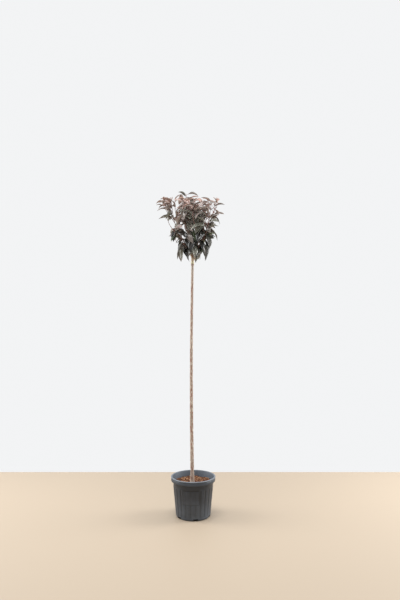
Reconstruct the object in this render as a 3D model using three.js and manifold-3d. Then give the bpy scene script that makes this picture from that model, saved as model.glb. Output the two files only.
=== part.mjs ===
// A potted cherry tree with purple leaves: pot, potting mix, grafted stem, boughs and masses of foliage.
// Millimetres, +Z up. The origin is the centre of the pot's underside, and -Y is the front.

import * as THREE from 'three';
import { mergeVertices } from 'three/addons/utils/BufferGeometryUtils.js';
import Module from 'manifold-3d';

const wasm = await Module();
wasm.setup();

// Pot: a ribbed, moulded nursery pot of about 12 litres
const potHeight = 258;
const neckRadius = 137.8;
const baseRadius = 113.4;
const cornerRadius = 10;
const cornerAngles = [30, 60, 90];
const wall = 2.6;
const floorThickness = 3;

// Its rim: a collar with a rounded lip, and a shoulder below that slopes back to the wall
const rimRadius = 148;
const rimHeight = 26;
const rimShoulder = 9;
const lipDrop = 4;
const lipInset = 3.5;
const lipInner = 3;

// Its ribs: shallow grooves up the wall, with a step above them
const ribCount = 24;
const ribDepth = 1.3;
const ribFoot = 20;
const ribTop = 197;
const ribStep = 4;
const stepsPerRib = 2;

// Its blank panel: a raised frame on the wall
const panelAzimuth = -96;
const panelWidth = 107;
const panelFoot = 104;
const panelTop = 195;
const panelLine = 3;
const panelRelief = 1.2;
const panelSink = 1;

// Its drain notches, cut up into the bottom edge
const notchCount = 6;
const notchWidth = 30;
const notchHeight = 8;
const notchInner = 98;
const notchAzimuth = -81;

// Potting mix: a lumpy surface with a level patch round the stem
const soilLevel = 218;
const soilLumps = 4;
const soilSegments = 32;
const soilRings = [0.86, 0.7, 0.54, 0.38];
const soilPatch = 24;
const soilGap = 0.7;

// Trunk
const footX = -5.7;
const headX = -4.3;
const bowX = -8;
const bowY = 5;
const trunkTop = 1738;
const footRadius = 12.8;
const topRadius = 8.2;
const flare = 3.8;
const flareHeight = 20;
const graftHeight = 1672;
const graftSwell = 2.4;
const graftLength = 15;
const headSwell = 1.6;
const headHeight = 1712;
const headLength = 18;
const trunkSides = 10;
const trunkRings = 36;
const ringShift = 60;

// Clearance between solids that touch on the real plant
const clearance = 0.36;
const leastGap = 0.3;

// Boughs in degrees and millimetres: each leaves the stem's head at a height, leans out and turns upright.
// The wood is one tapering limb, and the mass of foliage goes on from its tip to the full length.
const boughWood = 0.19;
const boughRadius = 4.9;
const boughTipRadius = 2.9;
const boughSides = 7;
const boughRings = 6;
const apart = 34;
const boughs = [
  { name: 'left', azimuth: 178, height: 1728, lean: 44, tipLean: 2, length: 390, sides: 2, reach: 1.36, apart },
  { name: 'front_left', azimuth: 236, height: 1706, lean: 41, tipLean: 4, length: 404, sides: 2, reach: 1 },
  { name: 'front_right', azimuth: 300, height: 1722, lean: 42, tipLean: 3, length: 386, sides: 2, reach: 1 },
  { name: 'right', azimuth: 352, height: 1694, lean: 38, tipLean: 2, length: 412, sides: 2, reach: 1.1 },
  { name: 'back_right', azimuth: 58, height: 1714, lean: 43, tipLean: 4, length: 394, sides: 2, reach: 1 },
  { name: 'back_left', azimuth: 120, height: 1700, lean: 41, tipLean: 3, length: 414, sides: 2, reach: 1 },
  { name: 'top', azimuth: 200, height: 1734, lean: 13, tipLean: 1, length: 416, sides: 3, reach: 1 },
];

// Low sprays of older, larger leaves: a short twig straight from the stem's head
const sprays = [
  { name: 'low_left', azimuth: 204, height: 1716, lean: 40, tipLean: 20, length: 146, reach: 1.16 },
  { name: 'low_front', azimuth: 266, height: 1702, lean: 38, tipLean: 20, length: 150, reach: 1.16 },
  { name: 'low_right', azimuth: 328, height: 1710, lean: 40, tipLean: 20, length: 146, reach: 1.16 },
  { name: 'low_back_right', azimuth: 22, height: 1704, lean: 38, tipLean: 20, length: 150, reach: 1.16 },
  { name: 'low_back', azimuth: 90, height: 1708, lean: 38, tipLean: 20, length: 150, reach: 1.16 },
  { name: 'low_back_left', azimuth: 150, height: 1712, lean: 40, tipLean: 20, length: 146, reach: 1.16 },
];

// Habit of the tall masses and of the low sprays: where the first leaf stands on a shoot, how close
// the leaves follow, how old the last ones are, the slopes of an old leaf (at its root, at its blade's
// base and at its tip), and how much further each try tips a leaf
const tall = { firstLeaf: 0.03, internode: 25, tipAge: 0, oldPitch: [16, -34, -84], tipOver: 3 };
const low = { firstLeaf: 0.5, internode: 14, tipAge: 0.8, oldPitch: [8, -50, -84], tipOver: -2 };

// Shoots sway a little from step to step
const seed = 14;
const twigStep = 22;
const leastSteps = 4;
const swayLean = 5;
const swayTurn = 7;
const twigRadius = 2.6;
const twigTipRadius = 1.6;
const twigSides = 3;
const twigRoot = 4;
const keysPerMass = 10;

// Side shoots fork off a tall mass's leading shoot to either side, each one shorter than the last
const forkFrom = 0.38;
const forkTo = 0.7;
const sideLean = 58;
const sideTipLean = 12;
const sideLength = 0.46;
const sideLengthSpread = 0.12;
const sideShorter = 0.25;
const sideThinner = 0.85;
const sideSwing = 70;
const sideSwingSpread = 22;
const sideRetryTurn = 25;
const sprayRetryTurn = 2;

// Leaves grow smaller, narrower and more upright towards a shoot's tip
const crowding = 1.2;
const lastLeaf = 0.995;
const ageing = 1.4;
const fullSizeAge = 0.8;
const leafTurn = 144;
const shootTurn = 47;
const spraySwing = 25;
const leafTurnSpread = 16;
const leafRetryTurn = 14;
const leafSagSpread = 14;
const leafRoll = 24;
const sizeSpread = 0.16;
const matureLeaf = 118;
const youngLeaf = 72;
const matureWidth = 0.48;
const youngWidth = 0.4;
const matureFold = 15;
const youngFold = 26;
const maturePetiole = 24;
const youngPetiole = 14;
const petioleRadius = 1;
const leafThickness = 1.5;
const youngPitch = [70, 42, -10];

// A blade's outline: how fast it widens from its base and narrows to its drawn-out tip
const baseCurve = 0.75;
const tipCurve = 1.15;
const widestShare = 0.2795;
const smallLeaf = 96;
const bladeStations = [0, 0.27, 0.64, 1];
const smallStations = [0, 0.42, 1];
const sampleStations = [0.05, 0.2, 0.36, 0.52, 0.68, 0.84, 1];
const sampleAcross = 0.8;
const middleSample = 9;

// Room: a shoot or leaf gets a few tries, and what finds no room is left out
const tries = 18;
const shrink = 0.02;
const interleave = 34;
const leafRoom = 6;
const ownRoom = 5.5;
const farApart = 150;
const outwardShare = 0.6;

// Fused foliage is smoothed by no more than this
const leastDetail = 0.1;

// Outline of the crown: its radius at the bottom, at the shoulder, and its top
const crownFoot = 1700;
const crownFootRadius = 102;
const crownShoulder = 2060;
const crownShoulderRadius = 198;
const crownTop = 2168;
const crownRoundness = 2.4;
const sprayCeiling = 1862;

// What each random draw is for
const uses = {
  lean: 1,
  heading: 2,
  swing: 5,
  length: 6,
  retry: 7,
  turn: 11,
  size: 12,
  sag: 13,
  roll: 14,
  lump: 20,
};

const degrees = Math.PI / 180;
const lerp = THREE.MathUtils.lerp;
const vector = (x, y, z) => new THREE.Vector3(x, y, z);

const paint = {
  pot: new THREE.MeshStandardMaterial({ color: '#3b3d40', roughness: 0.55, metalness: 0 }),
  soil: new THREE.MeshStandardMaterial({ color: '#6b4632', roughness: 0.95, metalness: 0 }),
  bark: new THREE.MeshStandardMaterial({ color: '#7d6450', roughness: 0.8, metalness: 0 }),
  bough: new THREE.MeshStandardMaterial({ color: '#8a5f45', roughness: 0.7, metalness: 0 }),
  young: new THREE.MeshStandardMaterial({ color: '#7a4c43', roughness: 0.5, metalness: 0 }),
  mature: new THREE.MeshStandardMaterial({ color: '#3a3335', roughness: 0.45, metalness: 0 }),
};

const tree = new THREE.Group();

// A draw between 0 and 1 that depends only on what it is for, so one leaf left out changes no other
function draw(shoot, item, use) {
  let h = Math.imul(shoot + 1, 0x9e3779b1) ^ Math.imul(item + 1, 0x85ebca6b);
  h ^= Math.imul(use + seed, 0xc2b2ae35);
  h = Math.imul(h ^ (h >>> 15), 0x2c1b3c6d);
  h = Math.imul(h ^ (h >>> 12), 0x297a2d39);
  h ^= h >>> 15;
  return (h >>> 0) / 4294967296;
}

function spread(shoot, item, use, amount) {
  return (draw(shoot, item, use) * 2 - 1) * amount;
}

// Solids: a closed geometry made a manifold solid, and back
function solidOf(geometry) {
  const bare = geometry.clone();
  bare.deleteAttribute('normal');
  bare.deleteAttribute('uv');
  const merged = mergeVertices(bare, 1e-4);
  return new wasm.Manifold(new wasm.Mesh({
    numProp: 3,
    vertProperties: new Float32Array(merged.attributes.position.array),
    triVerts: new Uint32Array(merged.index.array),
  }));
}

function geometryOf(solid) {
  const mesh = solid.getMesh();
  const geometry = new THREE.BufferGeometry();
  geometry.setAttribute('position', new THREE.BufferAttribute(mesh.vertProperties, 3));
  geometry.setIndex(new THREE.BufferAttribute(mesh.triVerts, 1));
  geometry.computeVertexNormals();
  return geometry;
}

// The one outer body of a fused solid: scraps are dropped, and hollows sealed by fusing are filled
function mainBody(solid) {
  return solid.decompose().sort((a, b) => b.volume() - a.volume())[0];
}

function add(name, solid, material) {
  const mesh = new THREE.Mesh(geometryOf(solid), material);
  mesh.name = name;
  tree.add(mesh);
}

function box(width, depth, height, x, y, z) {
  const geometry = new THREE.BoxGeometry(width, depth, height);
  geometry.translate(x, y, z);
  return geometry;
}

// A ring or cup turned round the Z axis from a profile of [radius, height] points
function turned(profile, segments, shape = (radius) => radius) {
  const geometry = new THREE.LatheGeometry(profile.map(([r, z]) => new THREE.Vector2(r, z)), segments);
  geometry.rotateX(Math.PI / 2);
  const place = geometry.attributes.position;
  for (let i = 0; i < place.count; i += 1) {
    const x = place.getX(i);
    const y = place.getY(i);
    const z = place.getZ(i);
    const radius = Math.hypot(x, y);
    if (radius < 1e-6) {
      continue;
    }
    const step = Math.round((Math.atan2(y, x) / (2 * Math.PI)) * segments);
    const scale = shape(radius, z, (step + segments) % segments) / radius;
    place.setXY(i, x * scale, y * scale);
  }
  return geometry;
}

function wallRadius(z) {
  return lerp(baseRadius, neckRadius, z / potHeight);
}

function makePot() {
  const rimFoot = potHeight - rimHeight;
  const profile = [[0, 0], [baseRadius - cornerRadius, 0]];
  for (const angle of cornerAngles) {
    const swing = angle * degrees;
    const reach = wallRadius(cornerRadius) - cornerRadius + cornerRadius * Math.sin(swing);
    profile.push([reach, cornerRadius - cornerRadius * Math.cos(swing)]);
  }
  profile.push([wallRadius(ribFoot), ribFoot]);
  profile.push([wallRadius(ribTop), ribTop]);
  profile.push([wallRadius(ribTop + ribStep), ribTop + ribStep]);
  profile.push([wallRadius(rimFoot - rimShoulder), rimFoot - rimShoulder]);
  profile.push([rimRadius, rimFoot]);
  profile.push([rimRadius, potHeight - lipDrop]);
  profile.push([rimRadius - lipInset, potHeight]);
  profile.push([neckRadius - wall + lipInner, potHeight]);
  profile.push([wallRadius(rimFoot) - wall, rimFoot]);
  profile.push([wallRadius(floorThickness) - wall, floorThickness]);
  profile.push([0, floorThickness]);
  const segments = ribCount * stepsPerRib;
  const grooved = turned(profile, segments, (radius, z, step) => {
    const outside = radius > wallRadius(z) - wall / 2;
    const onRib = Math.round(z) === ribFoot || Math.round(z) === ribTop;
    return outside && onRib && step % stepsPerRib === 0 ? radius - ribDepth : radius;
  });
  const notches = Array.from({ length: notchCount }, (_, i) => {
    const notch = box(rimRadius, notchWidth, notchHeight * 2, notchInner + rimRadius / 2, 0, 0);
    notch.rotateZ((notchAzimuth + (i * 360) / notchCount) * degrees);
    return solidOf(notch);
  });
  const ring = solidOf(turned([
    [wallRadius(panelFoot) - panelSink, panelFoot],
    [wallRadius(panelFoot) + panelRelief, panelFoot],
    [wallRadius(panelTop) + panelRelief, panelTop],
    [wallRadius(panelTop) - panelSink, panelTop],
    [wallRadius(panelFoot) - panelSink, panelFoot],
  ], segments));
  const middle = (panelFoot + panelTop) / 2;
  const height = panelTop - panelFoot;
  const outer = box(rimRadius, panelWidth, height * 2, rimRadius, 0, middle);
  const inner = box(rimRadius, panelWidth - 2 * panelLine, height - 2 * panelLine, rimRadius, 0, middle);
  outer.rotateZ(panelAzimuth * degrees);
  inner.rotateZ(panelAzimuth * degrees);
  const panel = ring.intersect(solidOf(outer)).subtract(solidOf(inner));
  const pot = solidOf(grooved).subtract(wasm.Manifold.union(notches)).add(panel);
  add('pot', mainBody(pot), paint.pot);
}

function makeSoil() {
  const foot = floorThickness + clearance;
  const side = (z) => wallRadius(z) - wall - soilGap;
  const profile = [[0, foot], [side(foot), foot], [side(soilLevel), soilLevel]];
  for (const ring of soilRings) {
    profile.push([side(soilLevel) * ring, soilLevel]);
  }
  profile.push([soilPatch, soilLevel], [0, soilLevel]);
  const geometry = turned(profile, soilSegments);
  const place = geometry.attributes.position;
  for (let i = 0; i < place.count; i += 1) {
    const radius = Math.hypot(place.getX(i), place.getY(i));
    if (place.getZ(i) < soilLevel || radius <= soilPatch + 1) {
      continue;
    }
    const turn = Math.atan2(place.getY(i), place.getX(i)) / degrees;
    place.setZ(i, soilLevel + spread(Math.round(radius), Math.round(turn) % 360, uses.lump, soilLumps));
  }
  add('soil', solidOf(geometry), paint.soil);
}

// The stem's centre line: upright, with a slight bow
function stemAt(z) {
  const t = (z - soilLevel) / (trunkTop - soilLevel);
  return vector(lerp(footX, headX, t) + bowX * Math.sin(Math.PI * t), bowY * Math.sin(Math.PI * t), z);
}

function stemRadius(z) {
  const t = (z - soilLevel) / (trunkTop - soilLevel);
  const taper = lerp(footRadius, topRadius, t ** 0.75);
  const foot = flare * Math.exp(-(z - soilLevel) / flareHeight);
  const graft = graftSwell * Math.exp(-(((z - graftHeight) / graftLength) ** 2));
  const head = headSwell * Math.exp(-(((z - headHeight) / headLength) ** 2));
  return taper + foot + graft + head;
}

// A limb: a closed cylinder drawn out along a line of points, with its radius given along the way
function limb(points, radiusAt, sides, rings) {
  const path = new THREE.CatmullRomCurve3(points);
  const frames = path.computeFrenetFrames(rings);
  const geometry = new THREE.CylinderGeometry(1, 1, 1, sides, rings);
  const place = geometry.attributes.position;
  const spot = vector(0, 0, 0);
  for (let i = 0; i < place.count; i += 1) {
    const along = place.getY(i) + 0.5;
    const ring = Math.round(along * rings);
    const radius = radiusAt(along);
    spot.copy(path.getPointAt(ring / rings));
    spot.addScaledVector(frames.normals[ring], place.getX(i) * radius);
    spot.addScaledVector(frames.binormals[ring], -place.getZ(i) * radius);
    place.setXYZ(i, spot.x, spot.y, spot.z);
  }
  return geometry;
}

function trunkSolid(grow) {
  const foot = soilLevel + clearance;
  const geometry = new THREE.CylinderGeometry(1, 1, 1, trunkSides, trunkRings);
  geometry.rotateX(Math.PI / 2);
  const place = geometry.attributes.position;
  for (let i = 0; i < place.count; i += 1) {
    const t = Math.round((place.getZ(i) + 0.5) * trunkRings) / trunkRings;
    const z = lerp(foot, trunkTop + grow, t) - ringShift * Math.sin(Math.PI * 2 * t) * (1 - t);
    const centre = stemAt(z);
    const radius = stemRadius(z) + grow;
    place.setXYZ(i, centre.x + place.getX(i) * radius, centre.y + place.getY(i) * radius, z);
  }
  return solidOf(geometry);
}

// A shoot's line: it leaves at a lean from the upright and turns towards its tip's lean, swaying a little
function shootLine(start, azimuth, lean, tipLean, length, shoot) {
  const steps = Math.max(leastSteps, Math.round(length / twigStep));
  const points = [start.clone()];
  const spot = start.clone();
  let heading = azimuth;
  for (let i = 0; i < steps; i += 1) {
    const t = (i + 0.5) / steps;
    const tilt = (lerp(lean, tipLean, t) + spread(shoot, i, uses.lean, swayLean)) * degrees;
    heading += spread(shoot, i, uses.heading, swayTurn);
    const turn = heading * degrees;
    const step = length / steps;
    const flat = step * Math.sin(tilt);
    spot.add(vector(flat * Math.cos(turn), flat * Math.sin(turn), step * Math.cos(tilt)));
    points.push(spot.clone());
  }
  return points;
}

// The point a given fraction of the way along evenly stepped points
function along(points, t) {
  const place = t * (points.length - 1);
  const i = Math.min(Math.floor(place), points.length - 2);
  return points[i].clone().lerp(points[i + 1], place - i);
}

function cutLine(points, from, to) {
  const count = Math.max(2, Math.round((points.length - 1) * (to - from)));
  return Array.from({ length: count + 1 }, (_, i) => along(points, lerp(from, to, i / count)));
}

// Half the blade's width at a fraction of its length: oval, with a drawn-out tip
function bladeOutline(u) {
  return (u ** baseCurve * (1 - u) ** tipCurve) / widestShare;
}

// One leaf: a petiole and a blade folded along its midrib, both arched downwards in one upright plane.
// leaf.pitch holds the slopes at the root, at the blade's base and at its tip.
// A place on the leaf is a fraction of the blade's length past its base, and -1 at the petiole's root.
function leafPoint(leaf, place) {
  const [root, base, tip] = leaf.pitch;
  const joint = arc(leaf.petiole, root, base, 1);
  const onBlade = arc(leaf.blade, base, tip, place);
  const out = place < 0 ? 0 : joint.out + onBlade.out;
  const up = place < 0 ? 0 : joint.up + onBlade.up;
  const slope = place < 0 ? root : lerp(base, tip, place);
  const turn = leaf.azimuth;
  const centre = leaf.root.clone().add(vector(out * Math.cos(turn), out * Math.sin(turn), up));
  const forward = vector(Math.cos(slope) * Math.cos(turn), Math.cos(slope) * Math.sin(turn), Math.sin(slope));
  const side = vector(Math.sin(turn), -Math.cos(turn), 0);
  side.applyAxisAngle(forward, place > 0 ? leaf.roll * place : 0);
  const upward = side.clone().cross(forward);
  const wide = place > 0 ? (leaf.width / 2) * bladeOutline(place) : 0;
  const half = Math.max(petioleRadius * (1 - Math.max(0, place)), wide);
  return { centre, side, upward, half };
}

// How far out and up an arc ends whose slope changes evenly along its length
function arc(length, from, to, share) {
  const slope = lerp(from, to, share);
  const radius = length / (to - from);
  const out = radius * (Math.sin(slope) - Math.sin(from));
  const up = radius * (Math.cos(from) - Math.cos(slope));
  return { out, up };
}

// Turns the diagonals of every other side of a four-sided cone. A blade's two skins then have theirs side by
// side, so the thin blade doesn't cross itself where it twists.
function pairDiagonals(geometry, rings) {
  const index = geometry.index.array;
  const perSide = 3 + 6 * (rings - 1);
  for (const side of [1, 3]) {
    for (let at = side * perSide + 3; at < (side + 1) * perSide; at += 6) {
      const [a, b, d, , c] = index.slice(at, at + 6);
      index.set([a, b, c, a, c, d], at);
    }
  }
}

// The leaf's solid: a four-sided cone whose rings are drawn out to the folded outline
function leafSolid(leaf) {
  const stations = [-1, ...(leaf.blade < smallLeaf ? smallStations : bladeStations)];
  const rings = stations.length - 1;
  const geometry = new THREE.ConeGeometry(1, 1, 4, rings);
  pairDiagonals(geometry, rings);
  const place = geometry.attributes.position;
  for (let i = 0; i < place.count; i += 1) {
    const ring = Math.round((place.getY(i) + 0.5) * rings);
    const { centre, side, upward, half } = leafPoint(leaf, stations[ring]);
    if (ring < rings) {
      const across = Math.round(place.getX(i) / (1 - ring / rings));
      const over = Math.round(place.getZ(i) / (1 - ring / rings));
      const thick = stations[ring] > 0 ? leafThickness / 2 : petioleRadius;
      const fold = stations[ring] > 0 ? leaf.fold : 0;
      centre.addScaledVector(side, across * half * Math.cos(fold));
      centre.addScaledVector(upward, Math.abs(across) * half * Math.sin(fold) + over * thick);
    }
    place.setXYZ(i, centre.x, centre.y, centre.z);
  }
  return solidOf(geometry);
}

// Points on a leaf that stand for it when its room is tested
function leafSamples(leaf) {
  const samples = [];
  for (const station of sampleStations) {
    const { centre, side, upward, half } = leafPoint(leaf, station);
    samples.push(centre);
    if (station < 1) {
      for (const across of [-sampleAcross, sampleAcross]) {
        const spot = centre.clone().addScaledVector(side, across * half * Math.cos(leaf.fold));
        samples.push(spot.addScaledVector(upward, Math.abs(across) * half * Math.sin(leaf.fold)));
      }
    }
  }
  return samples;
}

function distanceToLine(spot, points) {
  let best = Infinity;
  const line = new THREE.Line3();
  const close = vector(0, 0, 0);
  for (let i = 0; i + 1 < points.length; i += 1) {
    line.set(points[i], points[i + 1]);
    line.closestPointToPoint(spot, true, close);
    best = Math.min(best, close.distanceToSquared(spot));
  }
  return Math.sqrt(best);
}

function crownRadius(z) {
  if (z < crownShoulder) {
    return lerp(crownFootRadius, crownShoulderRadius, (z - crownFoot) / (crownShoulder - crownFoot));
  }
  const rise = (z - crownShoulder) / (crownTop - crownShoulder);
  return rise < 1 ? crownShoulderRadius * Math.sqrt(1 - rise ** crownRoundness) : 0;
}

// Everything grown so far. What belongs to no mass is wood, which nothing may touch.
const grown = [];

function keep(solid, mass, samples = []) {
  grown.push({ solid, mass, samples, bounds: solid.boundingBox() });
}

function isClear(solid, mass) {
  const a = solid.boundingBox();
  return grown.every(({ solid: other, mass: owner, bounds: b }) => {
    const apart = [0, 1, 2].some((i) => a.min[i] > b.max[i] + 1 || b.min[i] > a.max[i] + 1);
    return apart || (mass && owner === mass) || solid.minGap(other, 1) > leastGap;
  });
}

function boughSolid(mass, grow) {
  const line = cutLine(mass.line, 0, mass.wood + grow / mass.length);
  const radiusAt = (t) => lerp(boughRadius, boughTipRadius, t) + grow;
  return solidOf(limb(line, radiusAt, boughSides, boughRings));
}

function twigSolid(line, thick) {
  return solidOf(limb(line, (t) => lerp(thick, twigTipRadius, t), twigSides, line.length - 1));
}

// The masses, with the line of each one's leading shoot and its bough's wood
function planMasses() {
  const plans = [
    ...boughs.map((bough) => ({ ...bough, habit: tall, wood: boughWood })),
    ...sprays.map((spray) => ({ ...spray, habit: low, wood: 0, sides: 0 })),
  ];
  return plans.map((plan, i) => {
    const mass = { ...plan, index: i, key: i * keysPerMass, shoots: [], leaves: [] };
    return { ...mass, line: leaderLine(mass, plan.azimuth) };
  });
}

function leaderLine(mass, azimuth) {
  return shootLine(stemAt(mass.height), azimuth, mass.lean, mass.tipLean, mass.length, mass.index);
}

function addShoot(mass, line, key, azimuth, length, solid) {
  mass.shoots.push({ line, key, azimuth, length, solid });
  keep(solid, mass);
}

// A bough's mass goes on from its tip. A spray starts at the trunk, and turns aside for a bough in its way.
function growLeader(mass, grownTrunk) {
  const onBough = mass.wood > 0;
  const from = onBough ? mass.wood - twigRoot / mass.length : 0;
  const carrier = onBough ? boughSolid(mass, clearance) : grownTrunk;
  for (let attempt = 0; attempt < tries; attempt += 1) {
    if (!onBough) {
      const azimuth = mass.azimuth + spread(mass.key, attempt, uses.retry, sprayRetryTurn * attempt);
      mass.line = leaderLine(mass, azimuth);
    }
    const line = cutLine(mass.line, from, 1);
    const solid = mainBody(twigSolid(line, twigRadius).subtract(carrier));
    if (isClear(solid, mass)) {
      addShoot(mass, line, mass.key, mass.azimuth, mass.length * (1 - from), solid);
      return;
    }
  }
  throw new Error(`no room for ${mass.name}`);
}

function growSides(mass) {
  for (let s = 0; s < mass.sides; s += 1) {
    const key = mass.key + s + 1;
    const start = along(mass.line, lerp(forkFrom, forkTo, s / (mass.sides - 1)));
    const swing = (s % 2 ? 1 : -1) * (sideSwing + spread(key, 0, uses.swing, sideSwingSpread));
    const size = 1 + spread(key, 0, uses.length, sideLengthSpread);
    const length = mass.length * sideLength * (1 - sideShorter * s) * size;
    for (let attempt = 0; attempt < tries; attempt += 1) {
      const azimuth = mass.azimuth + swing + spread(key, attempt, uses.retry, sideRetryTurn * attempt);
      const line = shootLine(start, azimuth, sideLean, sideTipLean, length, key);
      const solid = twigSolid(line, twigRadius * sideThinner);
      if (isClear(solid, mass)) {
        addShoot(mass, line, key, azimuth, length, solid);
        break;
      }
    }
  }
}

// The leaf that a shoot bears at its nth place, on a given try
function makeLeaf(mass, shoot, n, count, attempt) {
  const { firstLeaf, tipAge, oldPitch, tipOver } = mass.habit;
  const t = lerp(firstLeaf, 1, 1 - (1 - n / (count - 1)) ** crowding);
  const age = lerp(1, tipAge, t ** ageing);
  const item = n * tries + attempt;
  const size = 1 + spread(shoot.key, n, uses.size, sizeSpread) - shrink * attempt;
  const blade = lerp(youngLeaf, matureLeaf, Math.min(1, age / fullSizeAge)) * size;
  const spiral = shoot.key * shootTurn + n * leafTurn;
  const turn = mass.habit === low ? shoot.azimuth + (n % 2 ? 1 : -1) * spraySwing : spiral;
  let azimuth = turn + spread(shoot.key, item, uses.turn, leafTurnSpread + leafRetryTurn * attempt);
  if (mass.apart) {
    const swing = THREE.MathUtils.euclideanModulo(azimuth - mass.azimuth + 180, 360) - 180;
    azimuth = mass.azimuth + swing * outwardShare;
  }
  const sag = spread(shoot.key, item, uses.sag, leafSagSpread) + tipOver * attempt;
  return {
    root: along(shoot.line, Math.min(t, lastLeaf)),
    azimuth: azimuth * degrees,
    petiole: lerp(youngPetiole, maturePetiole, age),
    blade,
    width: blade * lerp(youngWidth, matureWidth, age),
    pitch: youngPitch.map((young, i) => (lerp(young, oldPitch[i], age) + sag) * degrees),
    fold: lerp(youngFold, matureFold, age) * degrees,
    roll: spread(shoot.key, item, uses.roll, leafRoll) * degrees,
  };
}

function isInSpace(spot, mass, masses) {
  const axis = stemAt(spot.z);
  const out = Math.hypot(spot.x - axis.x, spot.y - axis.y);
  if (spot.z < crownFoot || out > crownRadius(spot.z) * mass.reach) {
    return false;
  }
  if (mass.habit === low) {
    return spot.z < sprayCeiling;
  }
  const own = Math.min(...mass.shoots.map((shoot) => distanceToLine(spot, shoot.line)));
  const others = masses.filter((other) => other !== mass && other.habit === tall);
  return others.every((other) => distanceToLine(spot, other.line) > own - interleave + (other.apart ?? 0));
}

function isSpaced(samples, mass) {
  const middle = samples[middleSample];
  return grown.every(({ mass: owner, samples: others }) => {
    if (others.length === 0 || others[middleSample].distanceTo(middle) > farApart) {
      return true;
    }
    const room = owner === mass ? ownRoom : leafRoom;
    return samples.slice(1).every((spot) => others.slice(1).every((near) => spot.distanceTo(near) > room));
  });
}

function growLeaves(mass, masses) {
  for (const shoot of mass.shoots) {
    const count = Math.round((shoot.length * (1 - mass.habit.firstLeaf)) / mass.habit.internode) + 2;
    for (let n = 0; n < count; n += 1) {
      for (let attempt = 0; attempt < tries; attempt += 1) {
        const leaf = makeLeaf(mass, shoot, n, count, attempt);
        const samples = leafSamples(leaf);
        if (!samples.every((spot) => isInSpace(spot, mass, masses)) || !isSpaced(samples, mass)) {
          continue;
        }
        const solid = leafSolid(leaf);
        if (isClear(solid, mass)) {
          mass.leaves.push(solid);
          keep(solid, mass, samples);
          break;
        }
      }
    }
  }
}

makePot();
makeSoil();

const trunk = trunkSolid(0);
const grownTrunk = trunkSolid(clearance);
add('trunk', trunk, paint.bark);
keep(trunk, null);

const masses = planMasses();
const carved = [grownTrunk];
for (const mass of masses.filter((each) => each.wood > 0)) {
  const bough = mainBody(carved.reduce((solid, other) => solid.subtract(other), boughSolid(mass, 0)));
  carved.push(boughSolid(mass, clearance));
  add(`bough_${mass.name}`, bough, paint.bough);
  keep(bough, null);
}

masses.forEach((mass) => growLeader(mass, grownTrunk));
masses.forEach((mass) => growSides(mass));
[...masses].reverse().forEach((mass) => growLeaves(mass, masses));
for (const mass of masses) {
  const twigs = mass.shoots.map((shoot) => shoot.solid);
  const fused = wasm.Manifold.union([...twigs, ...mass.leaves]).simplify(leastDetail);
  add(`foliage_${mass.name}`, mainBody(fused), mass.habit === low ? paint.mature : paint.young);
}

export default tree;
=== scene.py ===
"""A potted purple-leaved cherry tree: ribbed pot, bark and coconut chips, grafted stem and leafy crown.

Plant and pot are worked out in millimetres and made in metres. +Z is up, and -Y is the front.
"""

import math
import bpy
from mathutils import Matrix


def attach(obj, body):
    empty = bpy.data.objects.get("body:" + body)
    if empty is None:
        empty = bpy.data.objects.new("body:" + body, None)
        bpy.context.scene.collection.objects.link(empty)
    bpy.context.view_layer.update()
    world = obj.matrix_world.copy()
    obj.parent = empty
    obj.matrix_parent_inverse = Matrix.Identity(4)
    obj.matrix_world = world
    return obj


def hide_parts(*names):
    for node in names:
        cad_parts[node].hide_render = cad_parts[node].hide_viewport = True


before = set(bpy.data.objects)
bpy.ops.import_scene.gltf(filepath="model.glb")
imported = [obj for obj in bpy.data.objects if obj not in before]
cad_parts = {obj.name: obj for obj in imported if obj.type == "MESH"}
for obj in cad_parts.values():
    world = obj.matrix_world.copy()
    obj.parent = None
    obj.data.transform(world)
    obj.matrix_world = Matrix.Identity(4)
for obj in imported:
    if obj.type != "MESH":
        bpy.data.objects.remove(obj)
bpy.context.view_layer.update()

from types import SimpleNamespace as Record

import bmesh
import bpy
import numpy as np
from mathutils import Matrix, Vector, noise

MM = 0.001
EASED = {"interpolation_type": "SMOOTHSTEP"}
COLOURS = {"data_type": "RGBA"}

# ---- Sizes, in millimetres and degrees ----

POT_HEIGHT = 258
NECK_RADIUS = 137.8
BASE_RADIUS = 113.4
CORNER_RADIUS = 10
WALL = 2.6
FLOOR_THICKNESS = 3
RIM_RADIUS = 148
RIM_FOOT = 232
RIM_SHOULDER = 9
BEAD_RADIUS = 3.4
COLLAR_INSET = 1.4
COLLAR_GROOVE = 4.6
RIB_COUNT = 24
RIB_DEPTH = 2.2
RIB_FOOT = 20
RIB_TOP = 197
POT_STEPS = 480
PANEL_AZIMUTH = -96
PANEL_WIDTH = 107
PANEL_FOOT = 104
PANEL_TOP = 195
PANEL_LINE = 4
PANEL_SINK = 1.6
PANEL_RIBS = 0.4
NOTCH_COUNT = 6
NOTCH_WIDTH = 30
NOTCH_HEIGHT = 13
NOTCH_INNER = 98
NOTCH_AZIMUTH = -81
DUST_HEIGHT = 200
# The pot's marks: painted shade in its grooves, on its panel's line and under its collar, and its inside
POT_MARKS = ("groove", "inner")

SOIL_LEVEL = 218
SOIL_GAP = 0.7
CHIP_COUNT = 3800
CHIP_LENGTHS = (2.2, 7.5)  # half lengths
CHIP_WIDTHS = (0.28, 0.7)  # against its length
CHIP_DEPTHS = (0.7, 2.1)
CHIP_TAPER = (0.15, 1)
CHIP_TILT = 0.5
CHIP_LIFT = (-1, 1.6)
CHIP_GAP = 6
# Dry bark and coconut husk is matt and runs from dark brown through tan to straw
CHIP_COLOURS = (  # name, colour, share
    ("red_bark_chip", "#82543e", 0.32), ("brown_bark_chip", "#5d3c2b", 0.2), ("tan_coconut_chip", "#a67b5b", 0.27),
    ("dark_bark_chip", "#33231a", 0.1), ("straw_chip", "#c3a27e", 0.11),
)

TRUNK_TOP = 1738
TRUNK_SIDES = 56
TRUNK_RINGS = 600
BOUGH_SIDES = 24
BOUGH_RINGS = 44
BOUGH_OVERLAP = 6


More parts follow.
